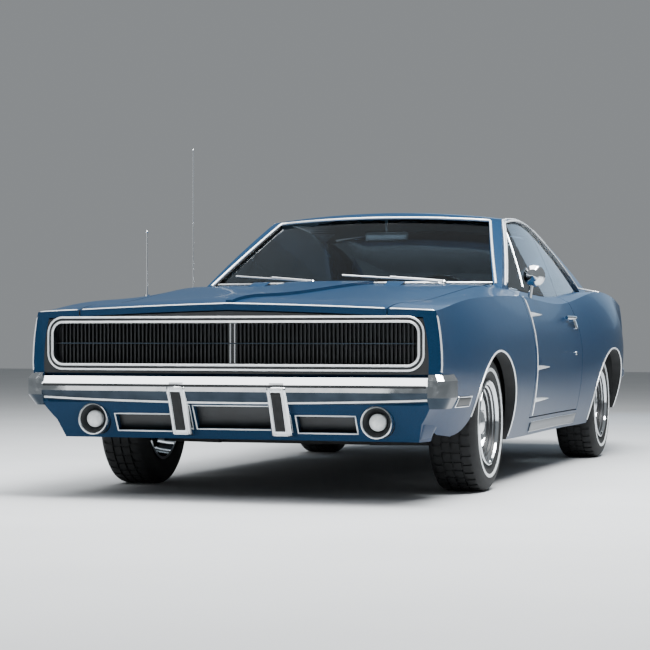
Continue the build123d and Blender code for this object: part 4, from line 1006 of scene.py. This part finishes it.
# %% Door trim
DOOR_EDGE_X, COVE_FRONT_X, COVE_HALF = 0.668, 0.655, 0.011
COVES = ((0.812, 0.300), (0.548, 0.330), (0.388, 0.370))
GRIP_FRONT_X, GRIP_REAR_X, GRIP_Z = -0.285, -0.500, 0.803
LOCK_AT, BELT_Y = (-0.395, 0.612), 0.775
VENT_LOW, VENT_TOP = (0.291, 0.955), (0.100, 1.275)
lock = lathe([(-0.006, 0.0), (-0.006, 0.011), (0.003, 0.011), (0.005, 0.007), (0.003, 0.0)], 20)
grip_lift = [0.010 + 0.018 * sin(pi * i / 8) for i in range(9)]
for side, sign in SIDES:
    door = "door_" + side
    edge = [(DOOR_EDGE_X, z) for z in spaced(0.312, 0.900, 25)]
    bead("door_edge_" + side, side_row(door, sign, edge), 0.004, bright_trim, door)
    for i, (z, length) in enumerate(COVES):
        rows = []
        for spread in (-COVE_HALF, 0.0, COVE_HALF):
            line = [(COVE_FRONT_X - length * s, z + spread * (1 - s) ** 0.7) for s in spaced(0.0, 1.0, 13)]
            rows.append(side_row(door, sign, line))
        strip(f"door_cove_{i + 1}_{side}", rows, 0.007, bright_trim, door)
    grip = side_row(door, sign, [(x, GRIP_Z) for x in spaced(GRIP_FRONT_X, GRIP_REAR_X, 9)])
    grip = [p + Vector((0, sign * up, 0)) for p, up in zip(grip, grip_lift)]
    bead("door_handle_" + side, grip, 0.010, body=door)
    rows = []
    for x in (-0.452, -0.476, -0.500):
        rows.append(side_row(door, sign, [(x, z) for z in spaced(0.800, 0.742, 7)]))
    strip("handle_plate_" + side, rows, 0.014, chrome, door)
    place = from_side(door, sign, [LOCK_AT])[0]
    settle(placed_copy(lock, place, (0, 0, 0 if sign > 0 else pi)), "door_lock_" + side, chrome, door)
    belt = from_above(door, [(x, sign * BELT_Y) for x in spaced(0.640, -0.525, 25)])
    bead("belt_bead_" + side, filled(belt), 0.005, body=door)
    divider = from_side("door_glass_" + side, sign, between(VENT_LOW, VENT_TOP, 9))
    bead("vent_divider_" + side, divider, 0.0055, body=door)
discard(lock)
print("doors trimmed: 2")

# %% [markdown]
# A small marker lamp sits low on each front fender, a slanted blank lens in a bright frame. It stays
# plain.

# %% Side markers
MARKER = ((2.290, 0.404), (2.115, 0.404), (2.100, 0.446), (2.275, 0.446))
for side, sign in SIDES:
    fender = "fender_" + side
    bead("marker_frame_" + side, side_row(fender, sign, round_corners(MARKER, 7)), 0.004, closed=True)
    rows = []
    for share in (0.12, 0.5, 0.88):
        front, rear = Vector(MARKER[0]).lerp(MARKER[3], share), Vector(MARKER[1]).lerp(MARKER[2], share)
        rows.append(side_row(fender, sign, between(front, rear, 9)))
    strip("marker_lens_" + side, rows, 0.006, black_plastic)
print("side markers: 2")

# %% [markdown]
# Air for the cabin enters through a slotted black panel at the foot of the windscreen, and the hood
# carries two small rear-facing vents. The slots are thin bars over a black strip.

# %% Cowl vent and hood vents
COWL_ROWS, COWL_HALF_Y, COWL_POINTS = (0.988, 1.004, 1.020), 0.56, 57
BAR_UP = Vector((0, 0, 0.002))
HOOD_VENT = ((1.250, -0.002), (1.200, 0.006), (1.165, 0.013), (1.150, 0.013))
MOUTH_OFF, MOUTH_DOWN = Vector((-0.003, 0, -0.006)), Vector((0.004, 0, -0.006))
cowl_y = spaced(-COWL_HALF_Y, COWL_HALF_Y, COWL_POINTS)
vent_rows = [filled(from_above("cowl", [(x, y) for y in cowl_y])) for x in COWL_ROWS]
strip("cowl_vent", vent_rows, 0.004, black_plastic)
for i in range(0, COWL_POINTS, 2):
    bead(f"cowl_bar_{i // 2 + 1}", [row[i] + BAR_UP for row in vent_rows], 0.0024, sides=1)
for side, sign in SIDES:
    rows = []
    for x, up in HOOD_VENT:
        rows.append(filled(from_above("hood", [(x, sign * y) for y in spaced(0.300, 0.385, 5)], up)))
    strip("hood_vent_" + side, rows, 0.006, blue_enamel, "hood")
    mouth = [p + MOUTH_OFF for p in rows[3]]
    strip("hood_vent_mouth_" + side, [mouth, [p + MOUTH_DOWN for p in mouth]], 0.004, black_plastic, "hood")
print("vents: 3")

# %% [markdown]
# Two mirrors: the round chromed head on the left door gets its silvered disc, and the cabin mirror is a
# rounded case on a stalk from the header.

# %% Mirrors
CASE_PLACE = (0.101, 0, 1.2335)
disc = lathe([(-0.0225, 0.0), (-0.0215, 0.046), (-0.0195, 0.047), (-0.0185, 0.0)], 40, "X")
settle(placed(disc, (0.430, 0.862, 1.010)), "door_mirror_glass", mirror_glass, "door_left")
case = block((0.024, 0.236, 0.057), CASE_PLACE)
apply_modifier(case, "BEVEL", width=0.009, segments=4)
open_mesh(case, lambda p, n: n.x < -0.9)
bpy.ops.mesh.inset(thickness=0.003)
bpy.ops.transform.translate(value=(0.002, 0, 0))
close_mesh()
case.data.materials.append(chrome)
case.data.materials.append(mirror_glass)
for face in case.data.polygons:
    face.material_index = int(face.normal.x < -0.95 and abs(face.center.z - CASE_PLACE[2]) < 0.02)
settle(case, "cabin_mirror_case", None, stands_for=("cabin_mirror",))
bead("cabin_mirror_stalk", [(0.103, 0, 1.255), (0.106, 0, 1.290), (0.110, 0, 1.328)], 0.006)
print("mirrors: 2")

# %% [markdown]
# The tail has two wide red lamps in bright frames, each parted by two thin bars, and the exhaust ends in
# two chromed tips.

# %% Tail
LAMP_FACE_X = -2.583
TIP_X, TIP_Y, TIP_Z = -2.600, 0.40, 0.300
TIP = [(0.085, 0.0285), (0.085, 0.033), (0.0, 0.0345), (-0.006, 0.0335), (-0.007, 0.031), (0.060, 0.0290)]
for side, sign in SIDES:
    line = [(LAMP_FACE_X, sign * y, z) for y, z in rectangle(0.186, 0.764, 0.636, 0.774)]
    bead("tail_frame_" + side, line, 0.007, closed=True)
    for i, y in enumerate((0.380, 0.570)):
        bead(f"tail_bar_{i + 1}_{side}", [(LAMP_FACE_X, sign * y, z) for z in (0.640, 0.770)], 0.005)
tip = lathe(TIP, 40, "X")
for side, sign in SIDES:
    copy = placed_copy(tip, (TIP_X, sign * TIP_Y, TIP_Z))
    settle(copy, "exhaust_tip_" + side, chrome)
discard(tip)
print("tail trims: 8")

# %% [markdown]
# Under the hood the block gets the pieces that a glance looks for: a round air cleaner with its wing nut,
# two finned rocker covers and the fan. They sit on the plain CAD block and stay below the hood.

# %% Engine dressing
CLEANER = [(0.768, 0.0), (0.768, 0.090), (0.780, 0.095), (0.784, 0.165), (0.790, 0.172), (0.826, 0.172)]
CLEANER += [(0.832, 0.166), (0.836, 0.130), (0.842, 0.120), (0.844, 0.020), (0.852, 0.012), (0.856, 0.0)]
COVER_X, COVER_Y, COVER_Z, COVER_TALL = 1.490, 0.215, 0.795, 0.052
FIN_FIRST_Y, FIN_WIDE, FIN_HIGH, FIN_HALF_X = 0.10, 0.0078, 0.006, 0.22
FAN_PLACE, FAN_BLADES, BLADE_X = (1.850, 0, 0.560), 6, 0.020
air_cleaner = placed(lathe(CLEANER, 72, "Z"), (1.480, 0, 0))
settle(air_cleaner, "air_cleaner", chassis_black)


def in_fin(p, n):
    return n.z > 0.5 and abs(p.x - COVER_X) < FIN_HALF_X and int((p.y - FIN_FIRST_Y) / FIN_WIDE) % 2 == 0


cover = block((0.560, 0.130, COVER_TALL), (COVER_X, COVER_Y, COVER_Z))
open_mesh(cover, lambda p, n: n.z > 0.5)
cover_top = (COVER_X, COVER_Y, COVER_Z + COVER_TALL / 2)
bpy.ops.transform.resize(value=(0.96, 0.72, 1), center_override=cover_top)
bpy.ops.mesh.subdivide(number_cuts=11)
pick_faces(cover, in_fin)
bpy.ops.mesh.extrude_region_move(TRANSFORM_OT_translate={"value": (0, 0, FIN_HIGH)})
close_mesh()
apply_modifier(cover, "BEVEL", width=0.002, segments=2, limit_method="ANGLE")
mirrored = copied(cover)
mirrored.scale.y = -1
alone(mirrored)
bpy.ops.object.transform_apply(scale=True)
face_outwards(mirrored)
settle(cover, "rocker_cover_left", chrome)
settle(mirrored, "rocker_cover_right", chrome)
fan_hub = lathe([(0.0, 0.0), (0.0, 0.055), (0.030, 0.055), (0.040, 0.040), (0.042, 0.0)], 32, "X")
blade = block((0.004, 0.060, 0.150), (BLADE_X, 0, 0.125))
open_mesh(blade, lambda p, n: n.z > 0.5)
bpy.ops.transform.resize(value=(1, 1.7, 1))
bpy.ops.transform.rotate(value=radians(18), orient_axis="Z", center_override=(BLADE_X, 0, 0.200))
close_mesh()
apply_modifier(blade, "BEVEL", width=0.0012, segments=2)
turns = [radians(360 * i / FAN_BLADES) for i in range(FAN_BLADES)]
fan = joined([fan_hub] + [placed_copy(blade, (0, 0, 0), (turn, 0, 0)) for turn in turns])
discard(blade)
settle(placed(fan, FAN_PLACE), "cooling_fan", chassis_black)
print("engine pieces: 4")

# %% [markdown]
# The doors are trimmed inside with a pleated vinyl card, an armrest and a window winder. The card is a
# flat panel with an inset field; its pleats are strips of faces raised from the field.

# %% Door cards
CARD_X, CARD_Z = 0.060, 0.600
FIELD_HALF_X, FIELD_HALF_Z, CARD_PLEAT = 0.48, 0.2, 0.0404


def in_card_pleat(p, sign, n):
    in_field = abs(p.x - CARD_X) < FIELD_HALF_X and abs(p.z - CARD_Z) < FIELD_HALF_Z
    return n.y * sign < -0.5 and in_field and int((p.x + 0.5) / CARD_PLEAT) % 2 == 0


for side, sign in SIDES:
    door = "door_" + side
    card = block((1.060, 0.012, 0.500), (CARD_X, sign * (CABIN_WALL_Y - 0.005), CARD_Z))
    open_mesh(card, lambda p, n: n.y * sign < -0.5)
    bpy.ops.mesh.inset(thickness=0.045)
    bpy.ops.transform.translate(value=(0, sign * 0.003, 0))
    bpy.ops.mesh.subdivide(number_cuts=23)
    pick_faces(card, lambda p, n: in_card_pleat(p, sign, n))
    bpy.ops.mesh.extrude_region_move(TRANSFORM_OT_translate={"value": (0, -sign * 0.004, 0)})
    close_mesh()
    apply_modifier(card, "BEVEL", width=0.0018, segments=2, limit_method="ANGLE")
    settle(card, "door_card_" + side, black_vinyl, door)
    rest = block((0.420, 0.066, 0.060), (-0.110, sign * 0.722, 0.620))
    open_mesh(rest, lambda p, n: n.x > 0.5)
    bpy.ops.transform.resize(value=(1, 0.6, 0.6), center_override=(0.100, sign * 0.752, 0.648))
    close_mesh()
    apply_modifier(rest, "BEVEL", width=0.016, segments=4)
    settle(rest, "armrest_" + side, black_vinyl, door)
    knob_end = (0.205, sign * 0.700, 0.505)
    arm = [(0.300, sign * 0.738, 0.560), (0.290, sign * 0.722, 0.553), knob_end]
    bead("winder_arm_" + side, arm, 0.006, body=door)
    bead("winder_knob_" + side, [knob_end, (0.205, sign * 0.678, 0.505)], 0.011, black_plastic, door)
    pull = [(0.420, sign * 0.744, 0.700), (0.410, sign * 0.725, 0.702), (0.330, sign * 0.722, 0.706)]
    bead("door_pull_" + side, pull, 0.0055, body=door)
print("door cards: 2")

# %% [markdown]
# Four round dials face the driver, each a black face sunk in a bright bezel with a thin needle. They
# carry no figures. They are turned about X and tilted to lie on the dash's sloping face.

# %% Dials
DASH_SLOPE = radians(21)
DASH_HOOD_X, DASH_HOOD_Z, DASH_KNEE_Z, DASH_RUN = 0.560, 0.878, 0.750, 0.050
DIALS = ((0.255, 0.815, 0.048), (0.495, 0.815, 0.048), (0.130, 0.822, 0.032), (0.610, 0.822, 0.032))
NEEDLE_OUT, NEEDLE_REACH = 0.006, 0.5


def dash_x(z):
    """The dash's rear face, from its hood down to its knee."""
    return DASH_HOOD_X + DASH_RUN * (DASH_HOOD_Z - z) / (DASH_HOOD_Z - DASH_KNEE_Z)


for i, (y, z, radius) in enumerate(DIALS):
    place, turn = (dash_x(z), y, z), (0, -DASH_SLOPE, 0)
    inside = radius - 0.006
    ring = [(0.004, radius), (-0.008, radius), (-0.011, radius - 0.003), (-0.009, inside), (0.004, inside)]
    bezel = lathe(ring + ring[:1], 40, "X")
    settle(placed(bezel, place, turn), f"dial_bezel_{i + 1}", chrome)
    face = lathe([(0.004, 0.0), (0.004, radius - 0.005), (-0.003, radius - 0.005), (-0.004, 0.0)], 40, "X")
    settle(placed(face, place, turn), f"dial_face_{i + 1}", black_plastic)
    start = Vector((dash_x(z) - NEEDLE_OUT, y, z))
    needle = [start, start + Vector((0, radius * NEEDLE_REACH, radius * NEEDLE_REACH))]
    bead(f"dial_needle_{i + 1}", needle, 0.0012, white_rubber, sides=1)
print("dials:", len(DIALS))

# %% [markdown]
# Seats are foam under stretched vinyl. Each pad starts as a rounded slab a little smaller than the CAD
# seat, is remeshed evenly, and is blown up by a cloth simulation with inner pressure and no gravity,
# which crowns the middle and pulls the sides in. How far a point may move is capped. The pleats are sewn
# in afterwards, because the remesh would swallow them.

# %% Seat pads
PLEAT_PITCH, PLEAT_DEEP, PLEAT_WIDE = 0.052, 0.009, 0.007
PLEATED_LONG, PLEATED_WIDE = 0.40, 0.38
PAD_VOXEL, PAD_PRESSURE, PAD_STEPS, PAD_CAP = 0.010, 4.0, 20, 0.022


def seat_pad(length, width, thick):
    """A crowned pad about the origin: X along the pleats, Z out of the seat."""
    pad = block((length, width, thick))
    apply_modifier(pad, "BEVEL", width=thick * 0.42, segments=5)
    pad.data.remesh_voxel_size = PAD_VOXEL
    bpy.ops.object.voxel_remesh()
    before = [v.co.copy() for v in pad.data.vertices]
    cloth = pad.modifiers.new("foam", "CLOTH")
    cloth.settings.use_pressure = True
    cloth.settings.uniform_pressure_force = PAD_PRESSURE
    cloth.settings.effector_weights.gravity = 0.0
    for step in range(1, PAD_STEPS + 1):
        bpy.context.scene.frame_set(step)
    bpy.ops.object.modifier_apply(modifier="foam")
    bpy.context.scene.frame_set(1)
    for vertex, start in zip(pad.data.vertices, before):
        move = vertex.co - start
        vertex.co = start + move * min(1.0, PAD_CAP / max(move.length, 1e-9))
    apply_modifier(pad, "SMOOTH", factor=0.5, iterations=4)
    apply_modifier(pad, "SUBSURF", levels=1, render_levels=1)
    normals = [v.normal.copy() for v in pad.data.vertices]
    half_long, half_wide = length * PLEATED_LONG, width * PLEATED_WIDE
    for vertex, normal in zip(pad.data.vertices, normals):
        x, y, _ = vertex.co
        if normal.z > 0.4 and abs(x) < half_long and abs(y) < half_wide:
            away = abs((y + PLEAT_PITCH / 2) % PLEAT_PITCH - PLEAT_PITCH / 2)
            fade = min(1.0, (half_long - abs(x)) / 0.02, (half_wide - abs(y)) / 0.01 + 0.3)
            vertex.co -= normal * PLEAT_DEEP * fade * max(0.0, 1 - away / PLEAT_WIDE)
    return pad


def lay_pad(pattern, name, middle, up, stands_for):
    """Set a copy of a pad with its X along up-the-seat and its Z towards the sitter."""
    along = Vector((up[0], 0, up[1])).normalized()
    out = Vector((along.z, 0, -along.x)) if along.z > 0.5 else Vector((-along.z, 0, along.x))
    piece = copied(pattern)
    axes = Matrix((along, out.cross(along), out)).transposed().to_4x4()
    piece.matrix_world = Matrix.Translation(middle) @ axes
    settle(piece, name, black_vinyl, stands_for=(stands_for,), angle=60)


cushion = seat_pad(0.470, 0.430, 0.082)
back = seat_pad(0.470, 0.430, 0.070)
for side, sign in SIDES:
    y = sign * 0.392
    lay_pad(cushion, "seat_cushion_" + side, (0.030, y, 0.412), (0.44, 0.035), "front_seats")
    lay_pad(back, "seat_back_" + side, (-0.310, y, 0.680), (-0.14, 0.475), "front_seats")
    base = block((0.500, 0.400, 0.086), (-0.010, y, 0.330))
    open_mesh(base, lambda p, n: n.z < -0.5)
    bpy.ops.transform.resize(value=(0.86, 0.86, 1), center_override=(-0.010, y, 0.287))
    close_mesh()
    apply_modifier(base, "BEVEL", width=0.012, segments=3)
    settle(base, "seat_base_" + side, black_plastic, stands_for=("front_seats",))
rear_cushion = seat_pad(0.300, 1.050, 0.080)
rear_back = seat_pad(0.380, 1.050, 0.070)
lay_pad(rear_cushion, "rear_cushion", (-0.745, 0, 0.472), (0.30, 0.035), "rear_seat")
lay_pad(rear_back, "rear_back", (-0.985, 0, 0.695), (-0.135, 0.385), "rear_seat")
discard(cushion, back, rear_cushion, rear_back)
print("seat pads: 6")

# %% [markdown]
# A plain pale floor and three soft lamps: a broad one above, which lays a bright band along the hood and
# roof, a key from the front left and a fill from the front right. Two dim cards, as a studio stands round
# a car, give the hood and the chrome something pale to mirror; they stay out of the picture.

# %% Floor and light
SKY_COLOUR, SKY_STRENGTH = "#dfe4e8", 0.35
LIGHTS = (
    ("key light", (2.5, 2.5, 7.0), (0.6, 0, 0.7), 4.0, 4.0, 1750, "#ffffff"),
    ("fill light", (6.3, -2.4, 6.0), (2.2, 0, 0.5), 5.2, 4.0, 300, "#ffffff"),
    ("top light", (0.0, 0.0, 7.0), (0, 0, 0), 6.0, 6.0, 850, "#ffffff"),
    ("back card", (-8.0, 0.0, 3.2), (1.5, 0, 0.9), 4.0, 4.0, 80, "#a9c6e2"),
    ("front card", (12.5, -3.6, 1.4), (2.6, 0, 0.6), 6.6, 2.6, 70, "#ffffff"),
)
bpy.ops.mesh.primitive_plane_add(size=60)
floor = bpy.context.active_object
floor.name = "floor"
floor.data.materials.append(new_finish("pale studio floor", 0.0, 0.8, (900.0, "#bcbfc1", "#c0c3c5")))
world = bpy.context.scene.world or bpy.data.worlds.new("studio")
bpy.context.scene.world = world
world.use_nodes = True
sky = world.node_tree.nodes["Background"].inputs
sky["Color"].default_value = linear(SKY_COLOUR)
sky["Strength"].default_value = SKY_STRENGTH
for name, place, aim, wide, tall, watts, tint in LIGHTS:
    bpy.ops.object.light_add(type="AREA", location=place)
    lamp = bpy.context.active_object
    lamp.name = name
    lamp.data.shape = "RECTANGLE"
    lamp.data.size = wide
    lamp.data.size_y = tall
    lamp.data.energy = watts
    lamp.data.color = linear(tint)[:3]
    lamp.visible_camera = False
    lamp.rotation_euler = (Vector(aim) - Vector(place)).to_track_quat("-Z", "Y").to_euler()
print("lights:", len(LIGHTS))
